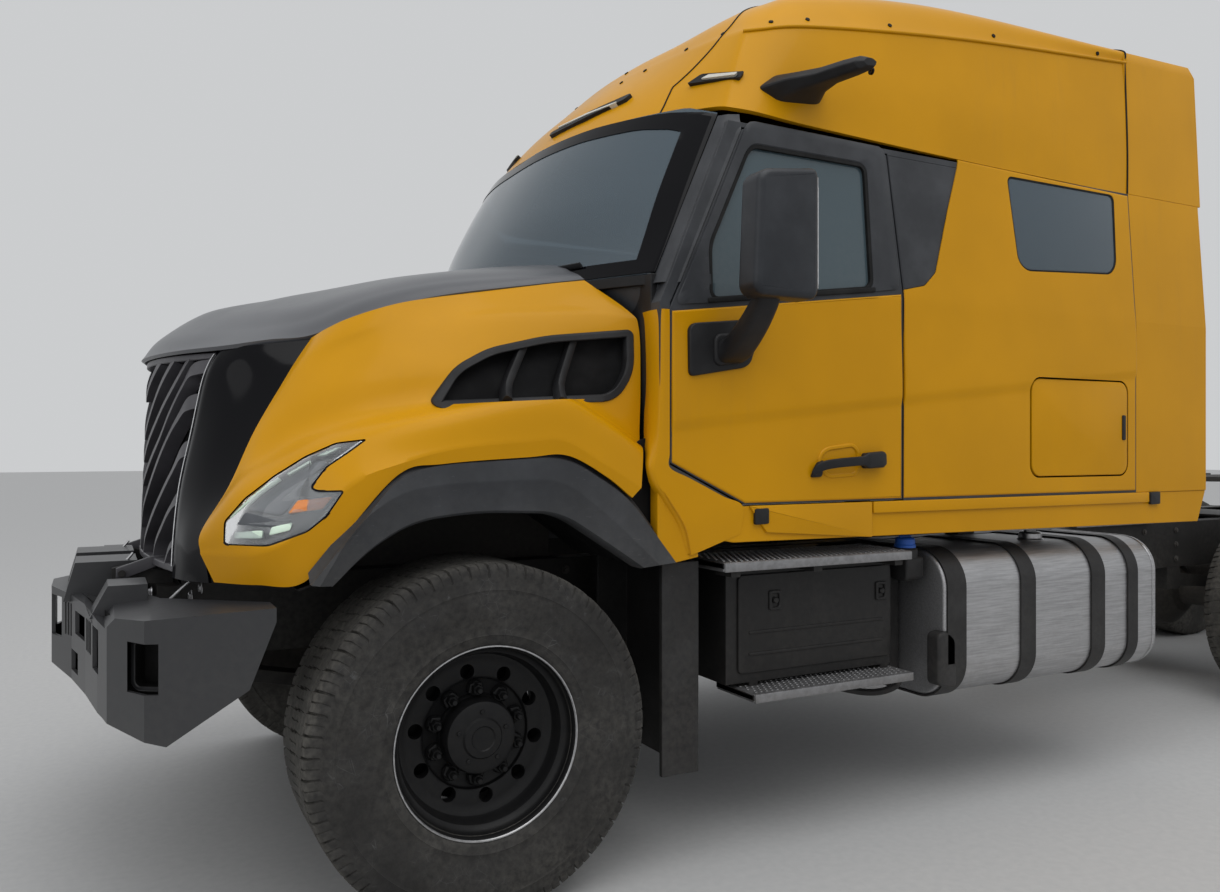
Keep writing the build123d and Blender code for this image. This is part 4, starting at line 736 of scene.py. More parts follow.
def build_finishes(colors):
    """Every finish of the vehicle."""
    build_effects()
    paint = colors.paint
    coated("paint", "paint_yellow", paint, 0.32, 0.07, 0.03, shine=0.12)
    coated("rim_black", "rim_black", (0.004, 0.0042, 0.005), 0.45, 0.03, 0.03, streak=0.05, bump=0.05, shine=0.22)
    coated("gloss_black", "gloss_black", (0.002, 0.002, 0.003), 0.09, 0.06, 0.01, streak=0.01, bump=0.02, shine=0.12)
    coated("bumper", "bumper_steel", colors.bumper, 0.42, 0.1, 0.10, bump=0.15, shine=0.5)
    coated("chassis", "frame_black", (0.006, 0.006, 0.007), 0.5, 0.05, 0.22, bump=0.2, shine=0.25)
    coated("step_box", "step_black", (0.004, 0.004, 0.005), 0.42, 0.1, 0.12, streak=0.5, bump=0.25, shine=0.25)
    # Matt top panel: the charcoal made about three times lighter because the panel faces the sky, which is painted
    # light; its dust film is real.
    coated("hood_top", "charcoal", (0.075, 0.078, 0.086), 0.38, 0.25, 0.10, streak=0.1, coat_rough=0.3, bump=0.08,
           shine=0.6)
    moulded("charcoal", "charcoal", colors.charcoal, 0.5, 0.12, scuffs=0.10)
    moulded("charcoal_worn", "charcoal", colors.charcoal, 0.55, 0.35, scuffs=0.5, bump=0.4)
    moulded("grille", "charcoal", (0.048, 0.046, 0.052), 0.40, 0.05, scuffs=0.05, bump=0.06, shine=0.5)
    # Shade finish: a darker, rougher and duller copy of the black plastic for the vent recesses, the grille's back, the
    # gap plates, the bumper's slots and backing and the arch liners, which is painted shade.
    moulded("recess", "black_plastic", (0.0045, 0.0045, 0.005), 0.7, 0.05, scuffs=0.0, shine=0.15)
    moulded("lamp_grey", "lamp_lens", (0.075, 0.080, 0.088), 0.22, 0.0, bump=0.05, scuffs=0.0)
    moulded("mirror_shell", "black_plastic", (0.014, 0.016, 0.020), 0.42, 0.05, scuffs=0.08, bump=0.12)
    moulded("black_plastic", "black_plastic", (0.008, 0.008, 0.009), 0.5, 0.12, shine=0.3)
    moulded("rubber", "black_plastic", (0.007, 0.007, 0.007), 0.7, 0.15, bump=0.1, shine=0.2)
    moulded("trim", "trim_grey", (0.05, 0.05, 0.054), 0.6, 0.0, scale=700.0)
    moulded("blue_cap", "black_plastic", (0.012, 0.09, 0.42), 0.38, 0.15, scuffs=0.1)
    worn_metal("cast", "cast", (0.035, 0.032, 0.030), 0.7, 0.3, 0.4, scale=60.0, bump=0.6, bright=0.10)
    worn_metal("tank", "tank_aluminium", (0.46, 0.46, 0.47), 0.40, 0.9, 0.2, run=(1.0, 22.0, 22.0), scale=7.0,
               bump=0.04, bright=0.3)
    worn_metal("tread_plate", "tank_aluminium", (0.30, 0.30, 0.31), 0.45, 0.9, 0.35, scale=30.0, bump=0.2, bright=0.5)
    worn_metal("steel", "cast", (0.50, 0.50, 0.51), 0.35, 1.0, 0.1, scale=60.0, bump=0.1)
    # The windshield's tint is lighter and bluer than the side glass of the same slot, with less body, for the sky it
    # reflects. This is a painted reflection.
    new_glass("windshield", "glass_dark", (0.105, 0.150, 0.185), 0.50)
    new_glass("side_glass", "glass_dark", colors.glass, 0.66)
    new_glass("lens", "lamp_lens", (0.80, 0.83, 0.86), 0.10)
    worn_metal("mirror_glass", "lamp_lens", (0.8, 0.82, 0.84), 0.13, 1.0, 0.1, bump=0.0, bright=0.1)
    lamp_finish("marker_lens", "lamp_lens", (0.62, 0.6, 0.52), 0.3)
    lamp_finish("drl", "lamp_lens", (0.70, 0.86, 0.70), 0.25)
    lamp_finish("amber", "lamp_lens", (0.75, 0.22, 0.02), 0.25)
    lamp_finish("red_lens", "red_lens", (0.45, 0.015, 0.012), 0.25)
    tyre_finish(colors.tyre)
    cloth_finish("seat_cloth", "seat_cloth", (0.055, 0.055, 0.062))
    cloth_finish("bunk_cloth", "seat_cloth", (0.16, 0.155, 0.15))


def new_glass(name, slot, color, body):
    """Tinted glass: a clear sheet over a share of dark tint, faint dust on the outside."""
    g, bsdf = new_finish(name, slot, IOR=1.45, Transmission_Weight=1.0 - body, Metallic=0.0, Specular_IOR_Level=0.7)
    film = use(g, "dust", Amount=0.12, Low=1.2, High=3.5)
    base = g.mix(film, rgba(color), rgba((0.3, 0.29, 0.27)))
    rough = g.math("MULTIPLY_ADD", film, 0.25, 0.03)
    feed(g, bsdf, Base_Color=base, Roughness=rough)


def lamp_finish(name, slot, color, rough):
    """Moulded lamp optic: fine upright flutes in coloured plastic."""
    g, bsdf = new_finish(name, slot, Coat_Weight=0.8)
    flute = g.put("TexWave", Vector=g.coords(), Scale=90.0, bands_direction="Z")
    tone = g.mix(flute, rgba(color, 0.8), rgba(color, 1.1))
    bumped = g.put("Bump", Strength=0.3, Distance=0.001, Height=flute)
    roughness = g.math("ADD", g.math("MULTIPLY", flute, 0.1), rough)
    feed(g, bsdf, Base_Color=tone, Normal=bumped, Roughness=roughness)


def tyre_finish(color):
    """Tyre rubber: black, greyed by dust on the tread, with rubbed patches and fine cracks in places."""
    g, bsdf = new_finish("tyre", "tyre", Specular_IOR_Level=0.22)
    coords = g.coords()
    cloud = g.noise(coords, 7.0, 6.0, 0.65)
    fine = g.noise(coords, 120.0, 4.0, 0.7)
    tone = g.mix(g.ramp(cloud, 0.3, 0.72), rgba(color), rgba([c * 1.5 + 0.006 for c in color]))
    width = g.math("ABSOLUTE", g.put("SeparateXYZ", out=1, Vector=coords))
    tread = g.put("MapRange", Value=width, From_Min=1.204, From_Max=1.180)
    film = g.math("MULTIPLY", use(g, "dust", Amount=0.85, Low=0.4, High=2.4), g.math("MULTIPLY_ADD", tread, 0.85, 0.5))
    rub = use(g, "scuff", Scale=9.0, Amount=0.55, Run=(1.0, 1.0, 1.0))
    base = g.mix(rub, g.mix(film, tone, rgba((0.112, 0.106, 0.094))), rgba((0.11, 0.112, 0.115)))
    crack = g.put("TexVoronoi", Vector=coords, Scale=23.0, feature="DISTANCE_TO_EDGE")
    lines = g.math("MULTIPLY", g.ramp(crack, 0.016, 0.0), g.ramp(cloud, 0.48, 0.66))
    base = g.mix(g.math("MULTIPLY", lines, 0.35), base, rgba((0.14, 0.14, 0.14)))
    bumped = g.put("Bump", Strength=0.35, Distance=0.0015, Height=g.math("ADD", fine, cloud))
    roughness = g.ramp(fine, -1.2, 1.0)
    feed(g, bsdf, Base_Color=base, Normal=bumped, Roughness=roughness)


def cloth_finish(name, slot, color):
    """Woven cloth: two crossing fine waves make the weave, with slow tone changes."""
    g, bsdf = new_finish(name, slot, Sheen_Weight=0.4, Sheen_Roughness=0.5)
    coords = g.coords()
    warp = g.put("TexWave", Vector=coords, Scale=160.0, bands_direction="Y", Distortion=0.4)
    weft = g.put("TexWave", Vector=coords, Scale=160.0, bands_direction="Z", Distortion=0.4)
    weave = g.math("MAXIMUM", warp, weft)
    tone = g.mix(g.math("MULTIPLY", weave, 0.7), rgba(color, 0.6), rgba(color, 1.6))
    bumped = g.put("Bump", Strength=0.5, Distance=0.001, Height=weave)
    roughness = g.ramp(weave, -2.0, 1.4)
    feed(g, bsdf, Base_Color=tone, Normal=bumped, Roughness=roughness)


# Stage
FLOOR_HALF = 60.0
IMAGE_WIDTH, FOCAL_PIXELS, SENSOR = 1220, 980, 36.0
VIEWPOINT, HEADING = (1.0758, 4.0566, 1.4736), (0.4642, -0.8857)


def build_stage():
    """Pale floor, soft overhead lamps and the camera at the photograph's viewpoint."""
    scene = bpy.context.scene
    scene.view_settings.view_transform = "Standard"
    x, y = np.meshgrid((-FLOOR_HALF, FLOOR_HALF), (-FLOOR_HALF, FLOOR_HALF))
    floor = bpy.data.objects.new("floor", mesh_from("floor", grid(np.stack([x, y, 0 * x], -1))))
    scene.collection.objects.link(floor)
    mat = bpy.data.materials.new("pale_floor")
    mat.use_nodes = True
    g = Graph(mat.node_tree)
    bsdf = mat.node_tree.nodes["Principled BSDF"]
    bsdf.inputs["Roughness"].default_value = 0.85
    bsdf.inputs["Specular IOR Level"].default_value = 0.2
    speckle = g.noise(g.coords(), 30.0, 4.0)
    feed(g, bsdf, Base_Color=g.mix(speckle, (0.42, 0.42, 0.42, 1), (0.50, 0.50, 0.49, 1)))
    floor.data.materials.append(mat)

    world = bpy.data.worlds.new("soft_sky")
    scene.world = world
    world.use_nodes = True
    g = Graph(world.node_tree)
    sky = world.node_tree.nodes["Background"]
    rays = g.put("LightPath", out="Is Camera Ray")
    path = g.tree.nodes[-1]
    direct = g.math("MAXIMUM", g.math("MAXIMUM", rays, path.outputs["Is Transmission Ray"]),
                    path.outputs["Is Glossy Ray"])
    height = g.put("SeparateXYZ", out=2, Vector=g.put("TexCoord", out="Generated"))
    overcast = g.mix(g.ramp(height, -0.1, 0.7), (0.50, 0.515, 0.54, 1), (0.86, 0.87, 0.89, 1))
    color = g.mix(direct, overcast, (0.60, 0.61, 0.62, 1))
    g.tree.links.new(color, sky.inputs["Color"])
    sky.inputs["Strength"].default_value = 1.0

    for name, place, size, energy, target in (
        ("overhead_lamp", (2.0, 4.0, 9.0), 9.0, 300.0, (0.5, 0.0, 1.0)),
        ("front_lamp", (10.0, 5.0, 5.0), 6.0, 70.0, (3.0, 0.0, 1.5)),
    ):
        light = bpy.data.lights.new(name, "AREA")
        light.shape, light.size, light.energy = "DISK", size, energy
        lamp = bpy.data.objects.new(name, light)
        scene.collection.objects.link(lamp)
        lamp.location = place
        aim = Vector(target) - Vector(place)
        lamp.rotation_euler = aim.to_track_quat("-Z", "Y").to_euler()

    camera = bpy.data.objects.new("camera", bpy.data.cameras.new("camera"))
    scene.collection.objects.link(camera)
    camera.data.sensor_fit, camera.data.sensor_width = "HORIZONTAL", SENSOR
    camera.data.lens = FOCAL_PIXELS / IMAGE_WIDTH * SENSOR
    camera.data.clip_end = 200
    camera.location = Vector(VIEWPOINT) + Vector((AXLE_X, 0, 0))
    camera.rotation_euler = (math.pi / 2, 0, math.atan2(*HEADING))
    scene.camera = camera


# Hood
HOOD_NET = [
    [(-.50, 1.21, 1.302), (-.40, 1.212, 1.375), (-.262, 1.212, 1.443), (-.12, 1.212, 1.438), (.145, 1.21, 1.420),
     (.28, 1.20, 1.392), (.43, 1.18, 1.225), (.545, 1.14, 1.08), (.665, 1.06, 1.07), (.765, .92, 1.067)],
    [(-.535, 1.21, 1.335), (-.40, 1.215, 1.41), (-.25, 1.215, 1.49), (-.12, 1.215, 1.487), (.107, 1.215, 1.466),
     (.28, 1.205, 1.421), (.418, 1.19, 1.365), (.54, 1.16, 1.24), (.66, 1.09, 1.165), (.80, .885, 1.15)],
    [(-.555, 1.185, 1.455), (-.41, 1.19, 1.545), (-.27, 1.19, 1.618), (-.12, 1.19, 1.612), (.14, 1.18, 1.563),
     (.34, 1.13, 1.514), (.50, 1.08, 1.46), (.64, 1.03, 1.366), (.727, .97, 1.30), (.797, .87, 1.215)],
    [(-.575, 1.125, 1.50), (-.42, 1.12, 1.59), (-.27, 1.11, 1.66), (-.12, 1.10, 1.655), (.13, 1.06, 1.615),
     (.32, 1.01, 1.58), (.46, .965, 1.54), (.575, .92, 1.48), (.66, .88, 1.42), (.715, .84, 1.35)],
    [(-.59, 1.105, 1.68), (-.43, 1.085, 1.72), (-.28, 1.07, 1.76), (-.13, 1.055, 1.755), (.11, 1.01, 1.735),
     (.28, .96, 1.70), (.41, .915, 1.665), (.515, .87, 1.615), (.59, .83, 1.565), (.636, .80, 1.519)],
    [(-.595, 1.085, 1.88), (-.43, 1.04, 1.90), (-.29, 1.02, 1.90), (-.14, .995, 1.89), (.08, .935, 1.86),
     (.23, .89, 1.83), (.35, .85, 1.79), (.445, .815, 1.75), (.51, .785, 1.71), (.545, .762, 1.675)],
    [(-.57, 1.055, 1.945), (-.42, .99, 1.965), (-.29, .965, 1.96), (-.14, .94, 1.948), (.06, .895, 1.918),
     (.205, .865, 1.888), (.315, .835, 1.855), (.40, .80, 1.82), (.46, .765, 1.785), (.495, .73, 1.755)],
    [(-.475, .90, 2.068), (-.37, .89, 2.052), (-.27, .88, 2.035), (-.14, .87, 2.012), (.04, .855, 1.98),
     (.17, .84, 1.953), (.27, .815, 1.922), (.35, .78, 1.89), (.405, .74, 1.86), (.440, .70, 1.835)],
]
TOP_NET = [
    [(-.475, .90, 2.068), (-.27, .88, 2.035), (.04, .855, 1.98), (.27, .80, 1.915), (.44, .70, 1.84),
     (.57, .665, 1.822), (.70, .62, 1.80), (.82, .45, 1.793), (.895, .24, 1.79), (.926, 0, 1.789)],
    [(-.46, .84, 2.10), (-.26, .82, 2.075), (.05, .78, 2.03), (.27, .72, 1.97), (.43, .62, 1.90),
     (.55, .56, 1.875), (.65, .50, 1.865), (.76, .38, 1.865), (.835, .2, 1.868), (.862, 0, 1.87)],
    [(-.42, .65, 2.155), (-.23, .63, 2.13), (.06, .58, 2.085), (.26, .52, 2.03), (.40, .44, 1.985),
     (.49, .37, 1.97), (.56, .31, 1.965), (.63, .22, 1.965), (.68, .12, 1.975), (.70, 0, 1.98)],
    [(-.26, 0, 2.205), (-.12, 0, 2.178), (.08, 0, 2.137), (.22, 0, 2.105), (.30, 0, 2.087),
     (.36, 0, 2.073), (.41, 0, 2.06), (.455, 0, 2.047), (.49, 0, 2.037), (.505, 0, 2.032)],
]
HEADLAMP_OUTLINE = [(.745, 1.182), (.743, 1.252), (.692, 1.320), (.612, 1.388), (.530, 1.444), (.446, 1.484),
                    (.357, 1.496), (.412, 1.456),
                    (.477, 1.411), (.522, 1.352), (.508, 1.344), (.436, 1.346), (.486, 1.270), (.537, 1.226),
                    (.639, 1.184)]
VENT_OUTLINE = [(-.562, 1.866), (-.556, 1.730), (-.490, 1.638), (.140, 1.602), (.046, 1.722), (-.068, 1.785),
                (-.267, 1.834)]


def with_mirror(points, row=True, col=True):
    """Net with the reflections of its next-to-last row and column added, so it meets the middle plane level."""
    p = np.asarray(points, float)
    if row:
        p = np.concatenate([p, p[-2:-1] * (1, -1, 1)], 0)
    if col:
        p = np.concatenate([p, p[:, -2:-1] * (1, -1, 1)], 1)
    return p


def side_cutter(outline, y_from, y_to):
    """Prism between two Y planes from a side outline of (x, z)."""
    o = np.asarray(outline, float)
    points = np.stack([np.stack([o[:, 0], np.full(len(o), y), o[:, 1]], -1) for y in (y_from, y_to)])
    return capped(points)


def grown(outline, amount):
    """Closed outline moved outwards by an amount."""
    o = np.asarray(outline, float)
    return inset(o, -amount if area(o) > 0 else amount)


HOOD_SIDE = net(HOOD_NET, 71, 109, row_creases=(1,))
hood_fit = surface_fit(HOOD_SIDE[::2, ::2][..., [0, 2, 1]])


def on_hood(x, z, h):
    """Hood side at (x, z), with height measured outwards and a little up."""
    x, z, h = np.broadcast_arrays(x, z, h)
    y = hood_fit(x, z)
    return np.stack([x, y + h, z], -1)


class TRACTOR_OT_hood(bpy.types.Operator):
    """Adds the hood sides, their vents and lamps, the matt top panel and the fender flares"""

    bl_idname = "tractor.hood"
    bl_label = "Hood"

    def execute(self, context):
        side, wall = grid(HOOD_SIDE, turn=True), context.scene.tractor_sizes.hood_wall
        lamp, vent = rounded(HEADLAMP_OUTLINE, 0.012, 4), rounded(VENT_OUTLINE,
                                                            np.array([.012, .05, .05, .02, .04, .04, .05]), 6)
        cutters = [side_cutter(o, 0.6, 1.4) for o in (lamp, vent)]
        piece("hood_side_left", side, "paint", "hood", ["hood_shell"], wall=wall, cuts=cutters)
        piece("hood_side_right", mirror(side), "paint", "hood", ["hood_shell"], wall=wall,
              cuts=[mirror(c) for c in cutters])
        top = net(with_mirror(TOP_NET), 41, 91, row_to=3, col_to=9)
        top[..., 2] += 0.004
        piece("hood_top", both(grid(top, turn=True)), "hood_top", "hood", ["hood_top_panel"], wall=0.014, weld=True)
        self.vents(vent)
        self.lamps(lamp)
        self.flares()
        return {"FINISHED"}

    def vents(self, vent):
        """Frame round each vent opening, the recess behind it and its slanting ribs."""
        frame_ring = band(grown(vent, 0.012), grown(vent, -0.014), on_hood, 0.006, 0.003, 0.02)
        recess = pad(grown(vent, 0.004), on_hood, -0.055, 0.004, 0.062)
        walls = band(grown(vent, 0.002), grown(vent, -0.003), on_hood, -0.002, 0.0005, 0.058, rows=1)
        bars = []
        for x_top, x_low in ((-0.190, -0.080), (-0.370, -0.265)):
            top = 1.842 - max(x_top + 0.3, 0.0) * 0.27
            path = np.array([(x_top, 1.0, top), ((x_top + x_low) / 2, 1.0, (top + 1.615) / 2), (x_low, 1.0, 1.615)])
            path = along(path, 9)
            path[:, 1] = hood_fit(path[:, 0], path[:, 2]) - 0.028
            bars.append(sweep(path, rectangle(-.014, -.02, .014, .02, .006, 3), up=(0, 1, 0)))
        ring = join(frame_ring, walls)
        piece("hood_vents", both(join(ring, *bars)), "black_plastic", "hood")
        piece("vent_recess", both(recess), "recess", "hood", ["side_vents"])

    def lamps(self, lamp):
        """Headlamp: dark bowl, reflector steps, light blocks, amber reflector and the clear lens over them."""
        inner = grown(lamp, -0.004)
        bowl = join(pad(inner, on_hood, -0.05, 0.004, 0.058),
                    band(grown(lamp, 0.001), grown(lamp, -0.006), on_hood, -0.006, 0.001, 0.055, rows=1))
        rim = band(grown(lamp, 0.002), grown(lamp, -0.004), on_hood, 0.001, 0.0005, 0.012, rows=1)
        sloped = [(0.700, 1.290), (0.655, 1.338), (0.580, 1.395), (0.50, 1.440), (0.465, 1.434), (0.53, 1.375),
                  (0.548, 1.322), (0.60, 1.268)]
        reflector = pad(rounded(sloped, 0.015, 4), on_hood, -0.018, 0.010, 0.045, 5)
        shield = pad(rounded([(0.715, 1.240), (0.690, 1.282), (0.615, 1.260), (0.590, 1.262), (0.570, 1.262),
                              (0.60, 1.236)], 0.008, 4), on_hood, -0.016, 0.005, 0.045, 4)
        amber = pad(rounded([(0.585, 1.277), (0.557, 1.315), (0.467, 1.327), (0.496, 1.291)], 0.006), on_hood, -0.009,
                    0.003, 0.03)
        lights = [
            ([(0.731, 1.222), (0.648, 1.228), (0.651, 1.206), (0.731, 1.202)], 0.005, -0.010, 0.004, 0.03),
            ([(0.634, 1.214), (0.625, 1.238), (0.573, 1.253), (0.580, 1.230)], 0.005, -0.010, 0.004, 0.03),
            ([(0.503, 1.450), (0.456, 1.476), (0.430, 1.474), (0.473, 1.450)], 0.004, -0.008, 0.003, 0.02),
            ([(0.583, 1.397), (0.518, 1.435), (0.516, 1.426), (0.577, 1.389)], 0.002, -0.008, 0.003, 0.02),
        ]
        drl = [pad(rounded(o, radius), on_hood, height, edge, sink) for o, radius, height, edge, sink in lights]
        strip = [(0.727, 1.258), (0.706, 1.283), (0.655, 1.336), (0.600, 1.380)]
        path = along(strip, 24)
        edge_line = np.stack([path[:, 0], hood_fit(path[:, 0], path[:, 1]) - 0.010, path[:, 1]], -1)
        line_strip = sweep(edge_line, ring_section(0.0045, 8), up=(0, 1, 0))
        piece("lamp_bowls", both(join(bowl, rim)), "gloss_black", "hood", ["headlamps"], sharp=35)
        piece("lamp_reflectors", both(join(reflector, shield)), "lamp_grey", "hood", sharp=35)
        piece("lamp_lights", both(join(*drl, line_strip)), "drl", "hood", sharp=35)
        piece("lamp_amber", both(amber), "amber", "hood", sharp=35)
        piece("lamp_lenses", both(pad(grown(lamp, -0.003), on_hood, 0.0, 0.003, 0.003)), "lens", "hood", sharp=35)

    def flares(self):
        """Fender flare: rails joined in turn, from the upper lip over the crease to the turned-in lower edge."""
        top = bent([(.539, 1.080), (.280, 1.392), (.145, 1.420), (-.262, 1.443), (-.493, 1.302), (-.672, 1.078)],
                   0.09, 7)
        crease = bent([(.515, 1.075), (.412, 1.247), (.280, 1.342), (.110, 1.362), (-.241, 1.369), (-.429, 1.228),
                       (-.60, 1.073)], 0.08, 7)
        low = bent([(.475, 1.072), (.369, 1.174), (.235, 1.251), (.030, 1.272), (-.241, 1.260), (-.422, 1.146),
                    (-.545, 1.066)], 0.08, 7)
        n = 90
        top, crease, low = along(top, n), along(crease, n), along(low, n)
        rails = []
        for flat, y in ((top + (0, 0.03), 1.17), (top, 1.198), (top, 1.207), (top * 0.94 + crease * 0.06, 1.213),
                        (crease * 0.94 + top * 0.06, 1.2185),
                        (crease, 1.219), (crease * 0.94 + low * 0.06, 1.2175), (low * 0.95 + crease * 0.05, 1.206),
                        (low, 1.200), (low - (0, 0.004), 1.190), (low - (0, 0.004), 1.12)):
            rails.append(np.stack([flat[:, 0], np.full(n, y), flat[:, 1]], -1))
        shape = facing(grid(np.stack(rails)), on_side, (0.0, 1.35))
        piece("fender_flare_skins", both(shape), "charcoal_worn", "hood", ["fender_flares"], wall=0.006, weld=True)


BLADE_NET = [
    [(.795, .690, 1.062), (.866, .700, 1.062), (.856, .742, 1.062), (.832, .810, 1.062), (.778, .900, 1.063)],
    [(.785, .652, 1.200), (.856, .662, 1.200), (.848, .705, 1.200), (.828, .775, 1.205), (.787, .866, 1.213)],
    [(.770, .606, 1.350), (.836, .616, 1.350), (.826, .660, 1.350), (.783, .738, 1.350), (.708, .838, 1.350)],
    [(.740, .588, 1.520), (.800, .598, 1.520), (.786, .640, 1.520), (.733, .708, 1.520), (.628, .798, 1.519)],
    [(.712, .570, 1.675), (.768, .580, 1.675), (.750, .618, 1.675), (.678, .680, 1.675), (.537, .760, 1.675)],
    [(.690, .562, 1.745), (.745, .571, 1.745), (.726, .610, 1.748), (.650, .666, 1.753), (.487, .728, 1.757)],
    [(.670, .558, 1.788), (.720, .566, 1.790), (.700, .604, 1.796), (.620, .655, 1.806), (.437, .698, 1.829)],
]


# Ribs as (y, z) points from the outer end in, with the widths of that end and of the run
HINGE_Y = 0.33
RIBS = [
    ([(.244, 1.772), (.150, 1.722), (.065, 1.682), (0, 1.645)], (.024, .022)),
    ([(.357, 1.772), (.266, 1.693), (.176, 1.615), (.080, 1.550), (0, 1.505)], (.024, .022)),
    ([(.448, 1.772), (.385, 1.692), (.312, 1.620), (.217, 1.542), (.077, 1.460), (0, 1.420)], (.024, .022)),
    ([(.582, 1.742), (.476, 1.729), (.428, 1.670), (.361, 1.579), (.287, 1.490), (.153, 1.400), (0, 1.330)],
     (.044, .022)),
    ([(.590, 1.628), (.487, 1.615), (.432, 1.563), (.342, 1.465), (.263, 1.385), (.181, 1.320), (.060, 1.245),
      (.010, 1.180)], (.048, .022)),
    ([(.602, 1.474), (.508, 1.456), (.450, 1.383), (.355, 1.288), (.253, 1.208), (.165, 1.140), (.148, 1.085)],
     (.050, .022)),
    ([(.625, 1.318), (.542, 1.303), (.479, 1.255), (.434, 1.205), (.378, 1.145), (.362, 1.085)], (.052, .022)),
    ([(.668, 1.188), (.605, 1.172), (.549, 1.140), (.528, 1.085)], (.054, .024)),
]


class TRACTOR_OT_nose(bpy.types.Operator):
    """Adds the gloss blades beside the grille with thin steel lines along their edges as painted highlights, and the
    grille's ribs and rim
    """

    bl_idname = "tractor.nose"
    bl_label = "Nose"

    def execute(self, context):
        points = net(BLADE_NET, 60, 41, col_creases=(1,))
        shape = facing(grid(points), on_nose, (0.7, 1.4))
        piece("nose_blades", both(shape), "gloss_black", "hood", ["grille_surround"], wall=0.010, weld=True, sharp=50)
        # A thin steel tube along each blade's edge next to the grille stands in for the highlight on its folded edge.
        # This is a painted highlight.
        edge = net(BLADE_NET, 50, 5, col_creases=(1,))[2:-2, 1] + (0.003, -0.002, 0)
        piece("blade_edge_highlights", both(sweep(edge, ring_section(0.0022, 8), up=(0, 1, 0))), "steel", "hood", sharp=35)
        self.grille()
        return {"FINISHED"}

    def grille(self):
        """Grille: ribs of changing width carried along the nose over a dark back, inside a flat rim."""
        half = np.array([(0, 1.070), (.700, 1.070), (.664, 1.200), (.619, 1.350), (.601, 1.520), (.582, 1.675),
                         (.570, 1.785), (0, 1.785)])
        outline = np.concatenate([half[:-1], half[:0:-1] * (-1, 1)])
        hole = grown(outline, -0.022)
        share = np.linspace(0, 1, 20, endpoint=False)[None, :, None]
        outer, inner = (((1 - share) * o[:, None] + share * np.roll(o, -1, 0)[:, None]).reshape(-1,
                                                            2) for o in (outline, hole))
        rim = band(outer, inner, on_nose, 0.002, 0.003, 0.045)
        y, z = np.meshgrid(np.linspace(-.68, .68, 60), np.linspace(1.075, 1.78, 30))
        back = facing(grid(on_nose(y, z, np.full(y.shape, -0.050))), on_nose, (0.0, 1.4))
        ribs = [self.rib(points, ends) for points, ends in RIBS]
        piece("grille_rim", join(rim, both(join(*ribs[5:]))), "grille", "hood", ["grille_surround"])
        piece("grille_back", back, "recess", "hood", ["grille_surround"], wall=0.004, weld=True, sharp=35)
        lugs = bar([(.850, 1.100), (.905, 1.100), (1.018, 1.062), (1.018, 1.030), (.984, 1.030), (.870, 1.072)],
                   MIDDLE, -HINGE_Y - .047, -HINGE_Y - .025, .003)
        stem = self.rib([(0.0, 1.09), (0.0, 1.20), (0.0, 1.35)], (.030, .022))
        piece("grille_ribs", join(both(join(*ribs[:5], lugs)), stem), "grille", "hood", ["grille"])

    def rib(self, points, ends):
        """One rib over its (y, z) points: a rounded flat bar that narrows from its outer end."""
        yz = line(points, 10 * len(points))
        path = on_nose(yz[:, 0], yz[:, 1], np.full(len(yz), -0.002))
        wide = np.interp(np.linspace(0, 1, len(yz)), [0, .14, .34, 1], [ends[0], ends[0], ends[1], ends[1] * 0.85])
        section = rectangle(-.5, -.045, .5, .003, 0.004, 3)[None] * np.stack([wide, np.ones(len(yz))], -1)[:, None]
        return sweep(path, section, up=(1, 0, 0))


# Roof
ROOF_NET = [
    [(-3.112, 1.178, 2.625), (-2.1, 1.178, 2.640), (-1.3, 1.178, 2.662), (-.975, 1.165, 2.682), (-.885, 1.02, 2.712),
     (-.700, .60, 2.729), (-.615, .30, 2.728), (-.588, 0, 2.724)],
    [(-3.112, 1.178, 2.86), (-2.1, 1.178, 2.86), (-1.3, 1.165, 2.84), (-1.03, 1.13, 2.83), (-.950, 1.0, 2.85),
     (-.825, .59, 2.885), (-.760, .30, 2.892), (-.740, 0, 2.895)],
    [(-3.112, 1.165, 3.235), (-2.1, 1.152, 3.152), (-1.35, 1.13, 3.063), (-1.10, 1.085, 3.02), (-1.04, .955, 3.03),
     (-.975, .57, 3.05), (-.935, .29, 3.058), (-.925, 0, 3.062)],
    [(-3.112, 1.135, 3.30), (-2.1, 1.05, 3.315), (-1.45, .98, 3.26), (-1.23, .92, 3.20), (-1.15, .80, 3.175),
     (-1.09, .52, 3.158), (-1.055, .27, 3.160), (-1.045, 0, 3.165)],
    [(-3.112, .80, 3.385), (-2.1, .76, 3.395), (-1.62, .68, 3.355), (-1.42, .62, 3.315), (-1.34, .54, 3.290),
     (-1.28, .36, 3.272), (-1.25, .19, 3.272), (-1.24, 0, 3.272)],
    [(-3.112, 0, 3.445), (-2.1, 0, 3.435), (-1.80, 0, 3.42), (-1.66, 0, 3.395), (-1.57, 0, 3.372),
     (-1.51, 0, 3.355), (-1.48, 0, 3.347), (-1.47, 0, 3.345)],
]


def on_roof(u, v, h):
    """Roof at the net's own row u and column v, with height along the surface's normal."""
    u, v, h = np.broadcast_arrays(*(np.asarray(q, float) for q in (u, v, h)))
    control = with_mirror(ROOF_NET)

    def at(a, b):
        across = curve_weights(control.shape[0], a.ravel(), (2,))
        along_row = curve_weights(control.shape[1], b.ravel())
        return np.einsum("ir,rcd,ic->id", across, control, along_row).reshape(a.shape + (3,))

    step = 0.01
    du, dv = at(u + step, v) - at(u, v), at(u, v + step) - at(u, v)
    normal = np.cross(dv, du)
    normal /= np.linalg.norm(normal, axis=-1, keepdims=True)
    normal *= np.sign((normal * (0.3, 1.0, 1.0)).sum(-1, keepdims=True))
    return at(u, v) + h[..., None] * normal


